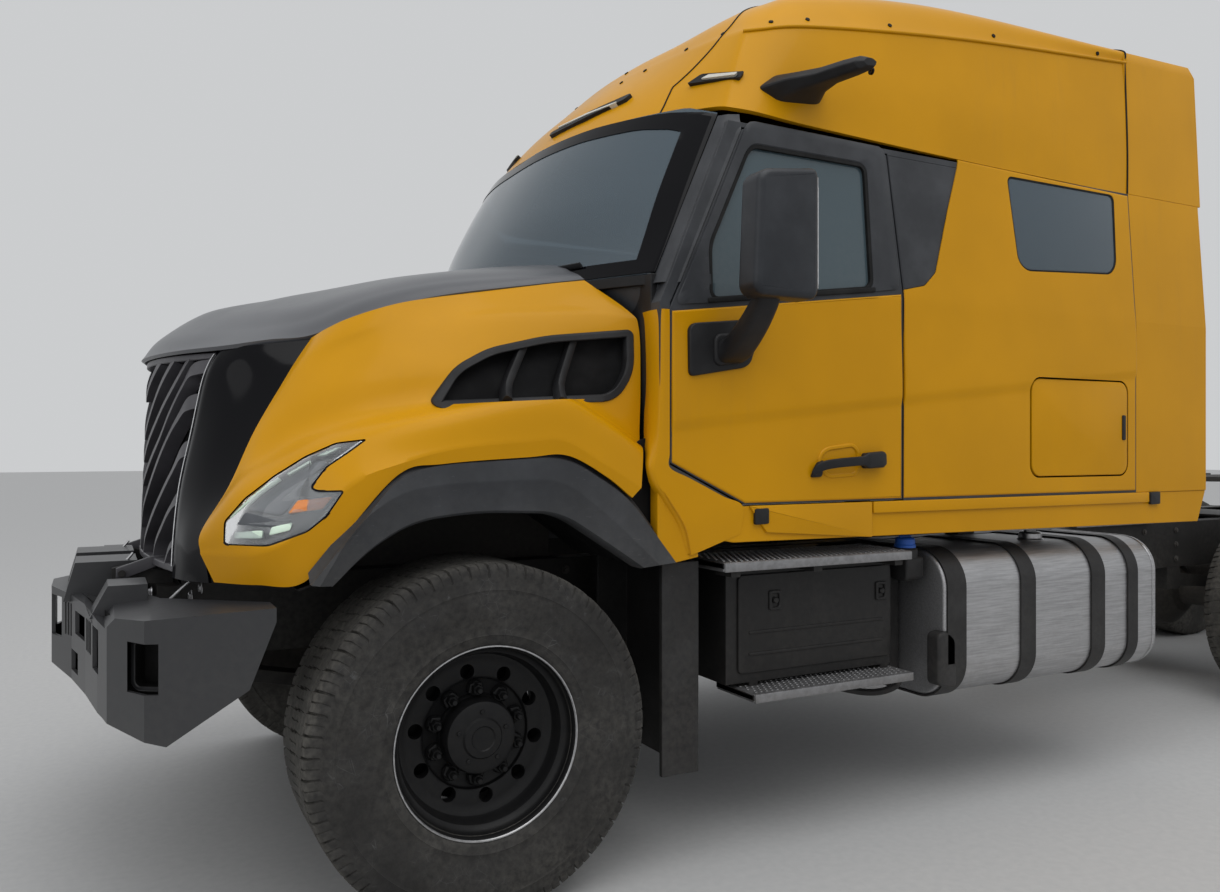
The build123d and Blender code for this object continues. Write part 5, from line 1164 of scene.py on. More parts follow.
class TRACTOR_OT_roof(bpy.types.Operator):
    """Adds the high roof with its seams, screws, marker lamps and rear wall"""

    bl_idname = "tractor.roof"
    bl_label = "Roof"

    def execute(self, context):
        points = net(with_mirror(ROOF_NET), 61, 99, row_creases=(2,), row_to=5, col_to=7)
        piece("roof_shell", both(grid(points, turn=True)), "paint", "chassis", ["roof_fairing"], wall=0.02, weld=True)
        rear = points[:, 0]
        wall = np.stack([rear + (0.004, 0, -0.002), rear * (1, 1, 0) + (0.004, 0, 2.60)])
        piece("roof_rear_wall", both(facing(grid(wall), on_plane((-3.1, 0, 3), (0, -1, 0), (0, 0, 1)), (0, 0))),
              "paint", "chassis", ["roof_fairing"], wall=0.012, weld=True, sharp=35)
        self.seams()
        return {"FINISHED"}

    def seams(self):
        """Thin dark joints, screws, gutter lip and lamps, each placed by the roof net's rows and columns."""
        u = np.linspace(0.02, 4.4, 60)
        cap = on_roof(u, np.interp(u, [0, .3, .9, 1.5, 2.2, 3.0, 4.2, 4.4],
                                   [4.42, 4.42, 4.44, 4.25, 4.0, 3.45, 2.3, 2.1]), 0.0005)
        joint = sweep(cap, ring_section(0.0035, 6), up=(0, 1, 0.3))
        rear = on_roof(np.linspace(0.02, 4.9, 60), 0.004, 0.001)
        rear_joint = sweep(rear, ring_section(0.005, 6), up=(1, 0, 0))
        gutter = on_roof(np.full(60, 2.0), np.linspace(0.0, 3.4, 60), 0.002)
        foot = on_roof(np.full(120, 0.0), np.linspace(0.0, 6.9, 120), -0.022)
        piece("roof_gutters", both(sweep(gutter, ring_section(0.007, 8), up=(0, 1, 0))), "paint", sharp=60)
        gasket = sweep(foot + (0, 0, 0.012), ring_section(0.007, 8), up=(0, 0, 1))
        piece("roof_seams", both(join(joint, rear_joint, gasket)), "rubber", sharp=35)
        at = [(2.3, 0.18), (2.25, 0.8), (2.18, 1.46), (2.2, 2.1), (2.2, 2.7), (2.18, 4.02), (2.14, 4.58), (1.9, 5.2),
              (1.8, 5.7), (2.6, 6.1), (3.94, 6.62)]
        uv = np.array(at)
        base, tip = on_roof(uv[:, 0], uv[:, 1], -0.002), on_roof(uv[:, 0], uv[:, 1], 0.004)
        screws = [sweep(np.stack([b, t]), ring_section(0.009, 10), up=(0.3, 0.1, 0.9)) for b, t in zip(base, tip)]
        piece("roof_screws", both(join(*screws)), "rubber", sharp=35)
        bases, lenses = [], []
        outlines = [([(0.56, 6.40), (0.74, 5.56), (0.95, 4.90), (0.77, 4.94), (0.52, 5.56), (0.42, 6.34)],
                     (0.30, 0.82)),
                    ([(0.80, 4.26), (1.02, 4.12), (0.98, 3.10), (0.80, 3.18)], (0.42, 0.72))]
        for corners, share in outlines:
            o = np.array(corners)
            centre = o.mean(0)
            bases.append(pad(rounded(o, 0.04, 4), on_roof, 0.016, 0.003, 0.01))
            lenses.append(pad(rounded(centre + (o - centre) * share, 0.02, 4), on_roof, 0.019, 0.002, 0.0))
        piece("roof_lamp_bases", both(join(*bases)), "black_plastic")
        piece("roof_lamp_lenses", both(join(*lenses)), "marker_lens")


# Cab
BELT_FRONT, BELT_REAR = (-0.646, 1.932), (-1.686, 2.062)
QUARTER = [(-1.652, 2.604), (-2.020, 2.604), (-1.957, 2.423), (-1.872, 2.160), (-1.811, 2.104), (-1.703, 2.080)]
SLEEPER_WINDOW = [(-2.312, 2.606), (-2.352, 2.250), (-2.400, 2.214), (-2.950, 2.244), (-2.990, 2.290), (-3.002, 2.606)]
DOOR_WINDOW = [(-.808, 1.985), (-.811, 2.172), (-.983, 2.519), (-1.012, 2.546), (-1.529, 2.545), (-1.535, 2.078)]
LUGGAGE = [(-2.410, 1.345), (-3.045, 1.345), (-3.045, 1.760), (-2.410, 1.760)]


class TRACTOR_OT_cab(bpy.types.Operator):
    """Adds the cab's yellow skins, doors, handles, luggage lids, window seals, sill bands and cowl panels"""

    bl_idname = "tractor.cab"
    bl_label = "Cab"

    def execute(self, context):
        luggage = rounded(LUGGAGE, 0.05, 7)
        front = [(-1.696, 1.272), (-1.699, 2.072), (-1.658, 2.598), (-1.654, 2.646)]
        main = skin([[(-1.696, 1.272), (-3.106, 1.272)], [(-3.106, 1.272), (-3.106, 2.619)],
                     [(-1.654, 2.646), (-3.106, 2.619)], front],
                    on_side, 110, 120, 0.007, 0.004, 0.003, side_relief)
        quarter = [(-1.60, 2.70), (-2.040, 2.70), (-2.022, 2.604), *QUARTER[2:], (-1.60, 2.080)]
        lid_outline = rounded([(-2.419, 1.345), *LUGGAGE[1:3], (-2.419, 1.760)], 0.05, 7)
        holes = [rounded(quarter, 0.008, 4), rounded(grown(SLEEPER_WINDOW, 0.003), 0.03, 5), grown(luggage, 0.006)]
        for side, flip in SIDES:
            body = DOOR_BODY[side]
            cuts = [flip(side_cutter(o, 1.0, 1.4)) for o in holes]
            piece(f"cab_side_skin_{side}", flip(main), "paint", weld=True, wall=0.004, cuts=cuts)
            door = skin([[(-.948, 1.271), (-1.686, 1.271)], [(-1.686, 1.271), BELT_REAR], [BELT_FRONT, BELT_REAR],
                         [(-.948, 1.271), (-.645, 1.417), BELT_FRONT]], on_side, 100, 110, 0.009, 0.004, 0.003,
                        side_relief)
            piece(f"door_skin_{side}", flip(door), "paint", body, weld=True)
            lid = pad(lid_outline, on_side, 0.004, 0.005, 0.010, 4)
            seam = pad(rectangle(-3.006, 1.500, -3.028, 1.612, 0.006), on_side, 0.010, 0.004, 0.0)
            piece(f"luggage_lid_{side}_skin", flip(lid), "paint", f"luggage_lid_{side}", [f"luggage_door_{side}"])
            piece(f"luggage_latch_{side}", flip(seam), "black_plastic", f"luggage_lid_{side}")
            window = rounded(DOOR_WINDOW, 0.03, 5)
            seal = band(grown(window, 0.010), grown(window, -0.004), on_side, 0.001, 0.001, 0.012)
            upper = [(-.655, 1.950), (-.988, 2.640), (-1.634, 2.632), (-1.680, 2.078)]
            frame_skin = band(rounded(upper, 0.03, 5), grown(window, 0.011), on_side, 0.004, 0.003, 0.003)
            sill = pad(rounded([(-.79, 1.966), (-.79, 1.985), (-1.55, 2.078), (-1.55, 2.059)], 0.006), on_side, 0.009,
                       0.004, 0.0)
            piece(f"door_frame_skin_{side}", flip(frame_skin), "charcoal", body)
            piece(f"door_window_seal_{side}", flip(join(seal, sill)), "rubber", body)
            self.handle(side, flip, body)
        rear_window = rounded(SLEEPER_WINDOW, 0.03, 5)
        piece("sleeper_window_seals", both(band(grown(rear_window, 0.004), grown(rear_window, -0.005), on_side, 0.003,
                                                0.002, 0.014)), "rubber")
        sills = [pad(rounded(o, 0.004, 3), on_side, 0.006, 0.003, 0.002) for o in
                 ([(-1.540, 1.262), (-1.540, 1.218), (-3.200, 1.216), (-3.200, 1.262)],
                  [(-.965, 1.262), (-1.040, 1.165), (-1.532, 1.128), (-1.532, 1.262)])]
        piece("sill_bands", both(join(*sills)), "paint", sharp=35)
        self.cowl()
        return {"FINISHED"}

    def handle(self, side, flip, body):
        """Door pull: a flattened bar carried from a wedge at the front to a block with a lock at the rear."""
        path = np.array([(-1.238, 1.236, 1.372), (-1.27, 1.246, 1.398), (-1.33, 1.256, 1.410), (-1.45, 1.258, 1.418),
                         (-1.50, 1.256, 1.420), (-1.575, 1.246, 1.424)])
        path = line(path, 26)
        size = np.interp(np.linspace(0, 1, 26), [0, .1, .3, .62, .7, .97, 1],
                         [.007, .016, .017, .017, .030, .031, .022])[:, None, None]
        section = rectangle(-.405, -1, .405, 1, .3, 4)[None] * size
        bar = sweep(path, section, up=(0, 0, 1))
        block = pad(rounded([(-1.478, 1.388), (-1.575, 1.395), (-1.590, 1.452), (-1.478, 1.447)], 0.012), on_side,
                    0.024, 0.008, 0.0)
        wedge = pad(rounded([(-1.232, 1.358), (-1.283, 1.360), (-1.292, 1.424), (-1.262, 1.412)], 0.01), on_side,
                    0.018, 0.007, 0.0)
        scoop = rounded([(-1.262, 1.428), (-1.30, 1.470), (-1.44, 1.486), (-1.470, 1.455), (-1.47, 1.36),
                         (-1.30, 1.352)], 0.04, 6)
        cup = band(scoop, grown(scoop, -0.016), on_side, 0.0095, 0.004, 0.004)
        lock = lathe([(0, 0.0), (.008, 0.0), (.008, .003), (.006, .004), (0, .004)],
                     (-1.535, HALF_WIDTH + 0.024, 1.438), 16)
        piece(f"door_handle_{side}", flip(join(bar, block, wedge)), "black_plastic", body)
        piece(f"door_lock_{side}", flip(lock), "steel", body)
        piece(f"door_cup_{side}", flip(cup), "paint", body)

    def cowl(self):
        """Yellow panel that turns from behind the hood round to the door edge, and the lower front fender."""
        rows = [
            [(-.607, 1.060, 1.935), (-.594, 1.150, 1.935), (-.602, 1.208, 1.935), (-.612, 1.2235, 1.935),
             (-.636, 1.2235, 1.935)],
            [(-.607, 1.085, 1.880), (-.592, 1.165, 1.880), (-.600, 1.212, 1.880), (-.611, 1.2245, 1.880),
             (-.636, 1.2245, 1.880)],
            [(-.606, 1.105, 1.680), (-.590, 1.170, 1.680), (-.598, 1.214, 1.680), (-.610, 1.2245, 1.680),
             (-.636, 1.2245, 1.680)],
            [(-.592, 1.125, 1.520), (-.580, 1.180, 1.520), (-.590, 1.216, 1.520), (-.604, 1.2245, 1.520),
             (-.636, 1.2245, 1.520)],
            [(-.575, 1.165, 1.450), (-.568, 1.200, 1.450), (-.580, 1.218, 1.450), (-.596, 1.2245, 1.450),
             (-.636, 1.2245, 1.450)],
            [(-.560, 1.195, 1.400), (-.560, 1.212, 1.400), (-.572, 1.222, 1.400), (-.590, 1.2245, 1.400),
             (-.638, 1.2245, 1.400)],
            [(-.575, 1.195, 1.345), (-.578, 1.212, 1.345), (-.588, 1.222, 1.345), (-.610, 1.2245, 1.345),
             (-.720, 1.2245, 1.362)],
            [(-.610, 1.195, 1.295), (-.615, 1.212, 1.295), (-.628, 1.222, 1.295), (-.650, 1.2245, 1.295),
             (-.855, 1.2245, 1.298)],
            [(-.672, 1.195, 1.205), (-.678, 1.212, 1.205), (-.692, 1.222, 1.205), (-.715, 1.2245, 1.205),
             (-.935, 1.2245, 1.262)],
            [(-.705, 1.190, 1.105), (-.710, 1.206, 1.105), (-.722, 1.215, 1.105), (-.742, 1.218, 1.105),
             (-.93, 1.218, 1.165)],
        ]
        points = net(rows, 70, 30)
        shape = facing(grid(points), on_side, (-0.63, 1.6))
        # Near-black plates just inside the side, behind the gap between the hood's rear and the cowl, close that gap
        # off. This is painted shade.
        plates = bar(rounded([(-.46, 1.16), (-.80, 1.10), (-.80, 1.50), (-.555, 1.50), (-.50, 1.40)], .03, 4), MIDDLE,
                     -1.150, -1.142, .003)
        piece("gap_shade_plates", both(plates), "recess", sharp=35)
        piece("cowl_panels", both(shape), "paint", wall=0.004, weld=True)
        markers = join(*[pad(rounded([(x, z), (x - w, z + .002), (x - w, z + .058), (x, z + .056)], .006), on_side,
                             0.012, 0.003, 0.0) for x, z, w in ((-.985, 1.195, .06), (-3.204, 1.205, .068))])
        piece("sill_markers", both(markers), "black_plastic")


class TRACTOR_OT_windshield(bpy.types.Operator):
    """Adds the windshield and sleeper panes, the black border, the pillar and cowl covers and the wipers"""

    bl_idname = "tractor.windshield"
    bl_label = "Windshield"

    def execute(self, context):
        top_y = np.linspace(-1.085, 1.085, 41)
        top_z = np.interp(np.abs(top_y), [0, .3, .6, .9, 1.05, 1.10], [2.726, 2.729, 2.730, 2.718, 2.690, 2.668])
        share = np.linspace(0, 1, 40)[:, None]
        side_to_side = np.linspace(-1, 1, 90)
        y = side_to_side[None] * (1.136 - .040 * share)
        z = 2.068 + share * (np.interp(np.abs(side_to_side), [0, .9, 1], [2.735, 2.722, 2.68])[None] - 2.068)
        pane = facing(grid(on_windshield(y, z, 0 * y)), on_windshield, (0.0, 2.4))
        windows = both(pad(rounded(SLEEPER_WINDOW, 0.03, 5), on_side, 0.0, 0.001, 0.010))
        piece("windshield_pane", pane, "windshield", "chassis", ["cab_glass"], wall=0.006, weld=True)
        piece("sleeper_panes", windows, "windshield", "chassis", ["cab_glass"])
        bottom_y = np.linspace(1.135, -1.135, 41)
        fall = np.linspace(0, 1, 22)[1:-1]
        sides = []
        for wide, low, high in ((1.014, 2.07, 0.002), (0.93, 2.125, 0.055)):
            top = np.stack([top_y * wide, top_z - high], -1)
            foot = np.stack([bottom_y * (wide + 0.005 * (wide < 1)), np.full(41, low)], -1)
            down = top[-1] + fall[:, None] * (foot[0] - top[-1])
            up = foot[-1] + fall[:, None] * (top[0] - foot[-1])
            sides.append(np.concatenate([top, down, foot, up]))
        border = band(*sides, on_windshield, 0.003, 0.001, 0.001, 240, 6)
        piece("windshield_border", border, "gloss_black")
        z = np.linspace(2.03, 2.662, 30)
        tuck = np.stack([-0.006 * soft_step(z, 2.60, 2.66), -0.022 * soft_step(z, 2.60, 2.66), 0 * z], -1)
        front = np.stack([np.interp(z, [2.03, 2.69], [-.606, -.918]), np.interp(z, [2.03, 2.69], [1.150, 1.112]), z],
                         -1)
        back = np.stack([np.interp(z, [1.945, 2.604], [-.640, -.962]) + 0.004, side_y(z) + 0.004, z], -1) + tuck
        pillar = facing(grid(np.stack([front, front + (-0.004, 0.034, 0) + tuck, front + (-0.018, 0.052, 0) + tuck,
                                       back])),
                        on_side, (-0.75, 2.3))
        piece("pillar_covers", both(pillar), "charcoal", wall=0.004, weld=True, sharp=30)
        self.wipers()
        self.cowl_cover()
        return {"FINISHED"}

    def cowl_cover(self):
        """Dark cover beside the hood's rear corner, from the glass foot down to the cab's front panel."""
        rows = [
            [(-.500, .86, 2.095), (-.545, .96, 2.075), (-.590, 1.06, 2.055), (-.615, 1.135, 2.040),
             (-.628, 1.165, 2.030)],
            [(-.500, .87, 2.060), (-.548, .97, 2.030), (-.592, 1.06, 2.010), (-.614, 1.140, 2.000),
             (-.627, 1.185, 1.995)],
            [(-.520, .90, 2.010), (-.570, .98, 1.980), (-.602, 1.06, 1.960), (-.612, 1.150, 1.955),
             (-.625, 1.210, 1.950)],
            [(-.560, .94, 1.940), (-.600, 1.00, 1.930), (-.612, 1.06, 1.925), (-.614, 1.150, 1.925),
             (-.622, 1.221, 1.925)],
        ]
        shape = facing(grid(net(rows, 24, 30)), on_side, (-0.6, 2.0))
        piece("cowl_covers", both(shape), "charcoal", wall=0.004, weld=True)

    def wipers(self):
        """Wiper: arm and blade as bars carried along the glass at small heights above it."""
        shapes = []
        for start, tip in ((0.85, 0.12), (-0.15, -0.88)):
            y = np.linspace(start, tip, 24)
            blade = on_windshield(y, np.linspace(2.125, 2.108, 24), np.full(24, 0.012))
            shapes.append(sweep(blade, rounded([(-.006, -.009), (.006, -.009), (.003, .012), (-.003, .012)], .002, 3),
                                up=(0.7, 0, 0.7)))
            y = np.linspace(start - 0.16, (start + tip) / 2, 16)
            height = np.interp(np.linspace(0, 1, 16), [0, .15, .8, 1], [.02, .045, .04, .022])
            arm = on_windshield(y, np.linspace(2.052, 2.118, 16), height)
            wide = np.linspace(1.6, 0.7, 16)[:, None, None]
            shapes.append(sweep(arm, rectangle(-.009, -.005, .009, .005, .003, 3)[None] * wide, up=(0.7, 0, 0.7)))
            knuckle = on_windshield(np.array([start - 0.16]), np.array([2.048]), np.array([0.012]))[0]
            shapes.append(lathe([(0, -.02), (.022, -.02), (.024, .0), (.016, .018), (0, .02)], knuckle, 20, "z"))
        piece("wipers", join(*shapes), "black_plastic")


MIRROR_OUTLINE = [(-.745, 1.975), (-.770, 1.948), (-.985, 1.948), (-1.000, 1.970), (-1.000, 2.355), (-.985, 2.375),
                  (-.790, 2.350), (-.760, 2.325)]


class TRACTOR_OT_mirrors(bpy.types.Operator):
    """Adds the mirror housings, their glass, arms and base plates, and the camera arms on the roof"""

    bl_idname = "tractor.mirrors"
    bl_label = "Mirrors"

    def execute(self, context):
        outline = rounded(MIRROR_OUTLINE, 0.05, 7)
        upright = on_plane((0, 0, 0), (-1, 0, 0), (0, 0, 1))
        housing = bar(outline * (-1, 1), upright, 1.456, 1.563, 0.022, 6)
        glass_outline = rectangle(-.042, -.185, .042, .165, .02, 5)
        glass = pad(glass_outline, on_plane((-1.0, 1.5095, 2.165), (0, -1, 0), (0, 0, 1)), 0.003, 0.001, 0.004)
        frame_line = sweep(np.array([(-.998, 1.552, z) for z in np.linspace(1.985, 2.345, 20)]),
                           ring_section(0.0022, 8), up=(0, 1, 0))
        arm_path = line([(-.870, 1.244, 1.800), (-.872, 1.285, 1.812), (-.868, 1.37, 1.870), (-.858, 1.45, 1.935),
                         (-.85, 1.495, 1.985)], 22)
        size = np.linspace(1.0, 0.66, 22)[:, None, None]
        arm = sweep(arm_path, rectangle(-.060, -.042, .060, .042, .03, 5)[None] * size, up=(0, 0, 1))
        base_outline = rounded([(-.706, 1.709), (-.706, 1.876), (-.725, 1.893), (-1.022, 1.926), (-.959, 1.763),
                                (-.932, 1.747)], .02, 5)
        base = pad(base_outline, on_side, 0.022, 0.007, 0.0, 4)
        collar = pad(rounded([(-.80, 1.745), (-.80, 1.86), (-.95, 1.87), (-.93, 1.765)], .03, 5), on_side, 0.034,
                     0.012, 0.0, 4)
        for side, flip in SIDES:
            body = DOOR_BODY[side]
            piece(f"mirror_shell_{side}", flip(housing), "mirror_shell", body, [f"mirror_{side}"])
            piece(f"mirror_pane_{side}", flip(glass), "mirror_glass", body)
            piece(f"mirror_trim_{side}", flip(frame_line), "steel", body)
            piece(f"mirror_arm_{side}", flip(join(arm, base, collar)), "black_plastic", body, sharp=45)
        self.cameras()
        return {"FINISHED"}

    def cameras(self):
        """Camera arm: a faceted section of (forward, up) at four stations out from the roof side."""
        stations = [
            (1.12, -1.195, 2.780, 0.150, 0.062), (1.165, -1.20, 2.785, 0.150, 0.056),
                    (1.23, -1.215, 2.797, 0.105, 0.036),
            (1.30, -1.25, 2.805, 0.062, 0.030), (1.38, -1.285, 2.812, 0.058, 0.028),
                    (1.425, -1.31, 2.818, 0.050, 0.024), (1.44, -1.325, 2.820, 0.030, 0.014),
        ]
        base = rounded([(1, -.2), (.45, .9), (-.35, 1.0), (-1, .35), (-.8, -.7), (.5, -1)], .22, 4)
        points = np.stack([np.stack([x + base[:, 0] * l, np.full(len(base), y), z + base[:, 1] * h], -1) for y, x, z,
                           l, h in stations])
        arm = capped(points)
        lens = lathe([(0, -.004), (.013, -.004), (.013, .003), (.010, .004), (0, .002)], (-1.375, 1.39, 2.812), 20, "x")
        piece("camera_arm_shells", both(arm), "black_plastic", "chassis", ["camera_arms"], sharp=25)
        piece("camera_eyes", both(lens), "gloss_black", sharp=30)


# Wheels
def tyre_shape(centre, radius, half, blocks, grooves, slant):
    """Tyre: the cross section is carried round the axle; grooves run round it as dips of the section
    that weave from side to side, and notches are dips of the radius between the blocks.
    """
    side = [(.290, .80), (.300, .90), (.308, .935), (.316, .952), (.330, .958), (.336, .974), (.342, .962),
            (.36, .968), (.385, .985), (.43, 1.0)]
    side += [(radius - .092, .997), (radius - .084, .988), (radius - .080, .996), (radius - .074, .985),
             (radius - .055, .968), (radius - .040, .95), (radius - .020, .915), (radius - .006, .87)]
    tread = []
    for start, end in grooves:
        tread += [(radius, start + .010), (radius - .014, start), (radius - .014, end), (radius, end - .010)]
    right = np.array(side + [(radius - .001, .80)] + tread + [(radius, .03)])
    right[:, 1] *= half
    profile = np.concatenate([right, right[::-1] * (1, -1)])
    steps = np.array([0.0, 0.05, 0.44, 0.47, 0.50, 0.53, 0.90, 0.95])
    deep = np.array([1.0, 0.0, 0.0, 0.45, 0.45, 0.0, 0.0, 1.0])
    weave = np.array([-1.0, -1.0, 0.4, 1.0, 1.0, 0.4, -1.0, -1.0])
    angle = ((np.arange(blocks)[:, None] + steps[None]) / blocks * 2 * np.pi).ravel()[:, None]
    low, zig = np.tile(deep, blocks)[:, None], np.tile(weave, blocks)[:, None]
    r, w = profile[None, :, 0], profile[None, :, 1]
    share = np.abs(w) / half
    on_tread = np.clip((r - (radius - .060)) / .03, 0, 1)
    inside = (share < 0.84) * (r > radius - .03)
    dip = low * (0.012 * on_tread * np.clip((share - 0.56) / 0.03, 0, 1) + 0.007 * inside * (share <= 0.56))
    turn = angle + (slant * w / half + 0.012 * np.sin(9 * w / half)) * (r > radius - .05)
    wide = w + zig * 0.0045 * inside * np.sign(w)
    points = np.stack([(r - dip) * np.cos(turn), wide, (r - dip) * np.sin(turn)], -1)
    return outward(grid(points + np.asarray(centre), wrap_rows=True))


FRONT_Z, DRIVE_Z = 0.555, 0.530
DRIVE_AXLES = (("drive1", -5.15), ("drive2", -6.52))
TWIN_MIDDLE = 0.905
STUDS, STUD_CIRCLE = 10, 0.14288


def on_circle(centre, radius, count, start=0.0):
    """Angles at equal steps about a wheel axis, and the points there."""
    a = start + np.arange(count) * 2 * np.pi / count
    return a, np.asarray(centre, float) + np.stack([radius * np.cos(a), 0 * a, radius * np.sin(a)], -1)


def hole_cutters(centre, pitch, radius, count, y_from, y_to, phase=0.0):
    """Round prisms in a ring about a wheel axis."""
    one = lathe([(0, y_from), (radius, y_from), (radius, y_to), (0, y_to)], (0, 0, 0), 20)
    return copies(one, on_circle(centre, pitch, count, phase)[1])


def nuts(centre, pitch, y, count, radius, height, phase=0.0):
    """Wheel nuts: flanged six-sided nuts with a round stud end, in a ring about a wheel axis."""
    flange = lathe([(0, 0), (radius * 1.45, 0), (radius * 1.45, height * .15), (radius * 1.2, height * .3),
                    (0, height * .3)], (0, 0, 0), 20)
    nut = lathe([(0, height * .2), (radius, height * .2), (radius, height * .8), (radius * .85, height * .9),
                 (0, height * .9)], (0, 0, 0), 6)
    stud = lathe([(0, height * .5), (radius * .55, height * .5), (radius * .55, height * 1.25),
                  (radius * .4, height * 1.35), (0, height * 1.35)], (0, 0, 0), 12)
    a, at = on_circle((centre[0], y, centre[2]), pitch, count, phase)
    return copies(join(flange, nut, stud), at, turns_about("y", -a))


class TRACTOR_OT_wheels(bpy.types.Operator):
    """Adds the tyres, wheels, hubs and nuts"""

    bl_idname = "tractor.wheels"
    bl_label = "Wheels"

    def execute(self, context):
        sizes = context.scene.tractor_sizes
        front = tyre_shape((0, 1.009, FRONT_Z), FRONT_Z, .2105, sizes.tread_blocks, [(.30, .245), (.62, .565)], .05)
        c = (0, 0, FRONT_Z)
        rim = [(.305, 1.200), (.300, 1.203), (.296, 1.200), (.291, 1.186), (.290, 1.165), (.283, 1.150),
               (.270, 1.142), (.264, 1.128), (.262, 1.108),
               (.256, 1.098), (.246, 1.094), (.238, 1.088), (.222, 1.085), (.186, 1.085), (.178, 1.080),
               (.174, 1.068), (.168, 1.064), (.09, 1.064),
               (.09, 1.046), (.238, 1.046), (.250, 1.040), (.255, 1.00), (.262, .90), (.285, .845), (.300, .824),
               (.305, .822), (.292, .838), (.276, .87), (.272, 1.06), (.276, 1.12), (.296, 1.175), (.305, 1.19)]
        hub = [(0, 1.046), (.125, 1.046), (.125, 1.072), (.119, 1.080), (.118, 1.120), (.112, 1.134), (.100, 1.140),
               (.066, 1.142), (.060, 1.149), (.040, 1.151), (.036, 1.147), (0, 1.147)]
        back = [(0, .90), (.232, .90), (.232, .99), (.16, 1.00), (.16, 1.02), (.10, 1.05), (0, 1.05)]
        wheel = lathe(rim, c, 96, wrap=True)
        bright = lathe([(.3035, 1.1995), (.3015, 1.2045), (.298, 1.2050), (.2955, 1.2015), (.2975, 1.1985)], c, 96,
                       wrap=True)
        web = pad(rounded([(-.028, .128), (.028, .128), (.020, .162), (-.020, .162)], .006),
                  on_plane((0, 1.066, 0), (1, 0, 0), (0, 0, -1)), .018, .005, .004)
        ribs = copies(web, np.tile(c, (STUDS, 1)), turns_about("y", on_circle(c, 0, STUDS)[0]))
        fixings = nuts(c, STUD_CIRCLE, 1.066, STUDS, sizes.nut_radius, .042, np.pi / STUDS)
        small = bolt_heads(on_circle((0, 1.139, FRONT_Z), .082, 5, .3)[1], "y", .007, .008)
        holes = hole_cutters(c, .203, .024, 10, 1.03, 1.10, 0.16)
        for side, flip in SIDES:
            body = f"front_wheel_{side}"
            piece(f"front_tread_{side}", flip(front), "tyre", body, [f"front_tyre_{side}"], sharp=42)
            piece(f"front_disc_{side}", flip(wheel), "rim_black", body, [f"front_rim_{side}"], cuts=[flip(holes)],
                  sharp=35)
            piece(f"front_hub_{side}", flip(join(lathe(hub, c, 64), lathe(back, c, 48), ribs, fixings, small)),
                  "rim_black", body, [f"front_rim_{side}"], sharp=35, weld=True)
            piece(f"front_rim_edge_{side}", flip(bright), "steel", body, sharp=50)
        self.drive_wheels()
        return {"FINISHED"}

    def drive_wheels(self):
        """Dual wheels: two tyres and two deep rims back to back, the outer one with holes, nuts and hub."""
        outer = [(.305, 1.186), (.300, 1.190), (.295, 1.186), (.290, 1.170), (.286, 1.13), (.274, 1.115),
                 (.268, 1.06), (.262, 1.02), (.250, 1.000), (.235, .985),
                 (.205, .950), (.180, .930), (.165, .920), (.09, .920), (.09, .908), (.165, .908), (.185, .918),
                 (.21, .938), (.245, .975), (.262, 1.00),
                 (.272, .985), (.285, .968), (.300, .962), (.305, .960), (.305, .972), (.28, .99), (.28, 1.15),
                 (.305, 1.176)]
        inner = [(r, TWIN_MIDDLE * 2 - y) for r, y in outer]
        hub = [(0, .80), (.238, .80), (.238, .88), (.118, .89), (.118, .905), (.118, .925), (.112, .932),
               (.110, 1.02), (.104, 1.034), (.085, 1.040), (.080, 1.052), (.055, 1.057), (0, 1.057)]
        for axle, x in DRIVE_AXLES:
            c = (x, 0, DRIVE_Z)
            tyres = join(*[tyre_shape((x, y, DRIVE_Z), DRIVE_Z, .1395, 48, [(.26, .20), (.64, .57)],
                                      .06) for y in (1.075, .735)])
            rims = join(lathe(outer, c, 72, wrap=True), lathe(inner, c, 72, wrap=True))
            holes = hole_cutters(c, .215, .022, 10, .85, 1.05, 0.16)
            centre = join(lathe(hub, c, 48), nuts(c, STUD_CIRCLE, .918, STUDS, .0165, .034, np.pi / STUDS),
                          bolt_heads(on_circle((x, 1.035, DRIVE_Z), .092, 8)[1], "y", .008, .010))
            for side, flip in SIDES:
                body = f"{axle}_wheel_{side}"
                piece(f"{axle}_tread_{side}", flip(tyres), "tyre", body, [f"{axle}_tyres_{side}"], sharp=42)
                piece(f"{axle}_discs_{side}", flip(rims), "rim_black", body, [f"{axle}_rims_{side}"],
                      cuts=[flip(holes)], sharp=35)
                piece(f"{axle}_hub_{side}", flip(centre), "rim_black", body, [f"{axle}_rims_{side}"], sharp=35,
                      weld=True)


def grips(x0, x1, y0, y1, z, pitch=0.024, radius=0.0065, height=0.003):
    """Staggered raised grips over a level rectangle, each a low dome of a few faces."""
    xs, ys = np.arange(x0 + pitch / 2, x1, pitch), np.arange(y0 + pitch / 2, y1, pitch)
    gx, gy = np.meshgrid(xs, ys, indexing="ij")
    gx = gx + (np.arange(len(ys)) % 2 * pitch / 2)[None]
    at = np.stack([gx.ravel(), gy.ravel(), np.full(gx.size, z)], -1)
    at = at[at[:, 0] < x1 - radius]
    dome = lathe([(radius, -0.001), (radius * .8, height * .8), (0, height)], (0, 0, 0), 6, "z")
    return copies(dome, at)


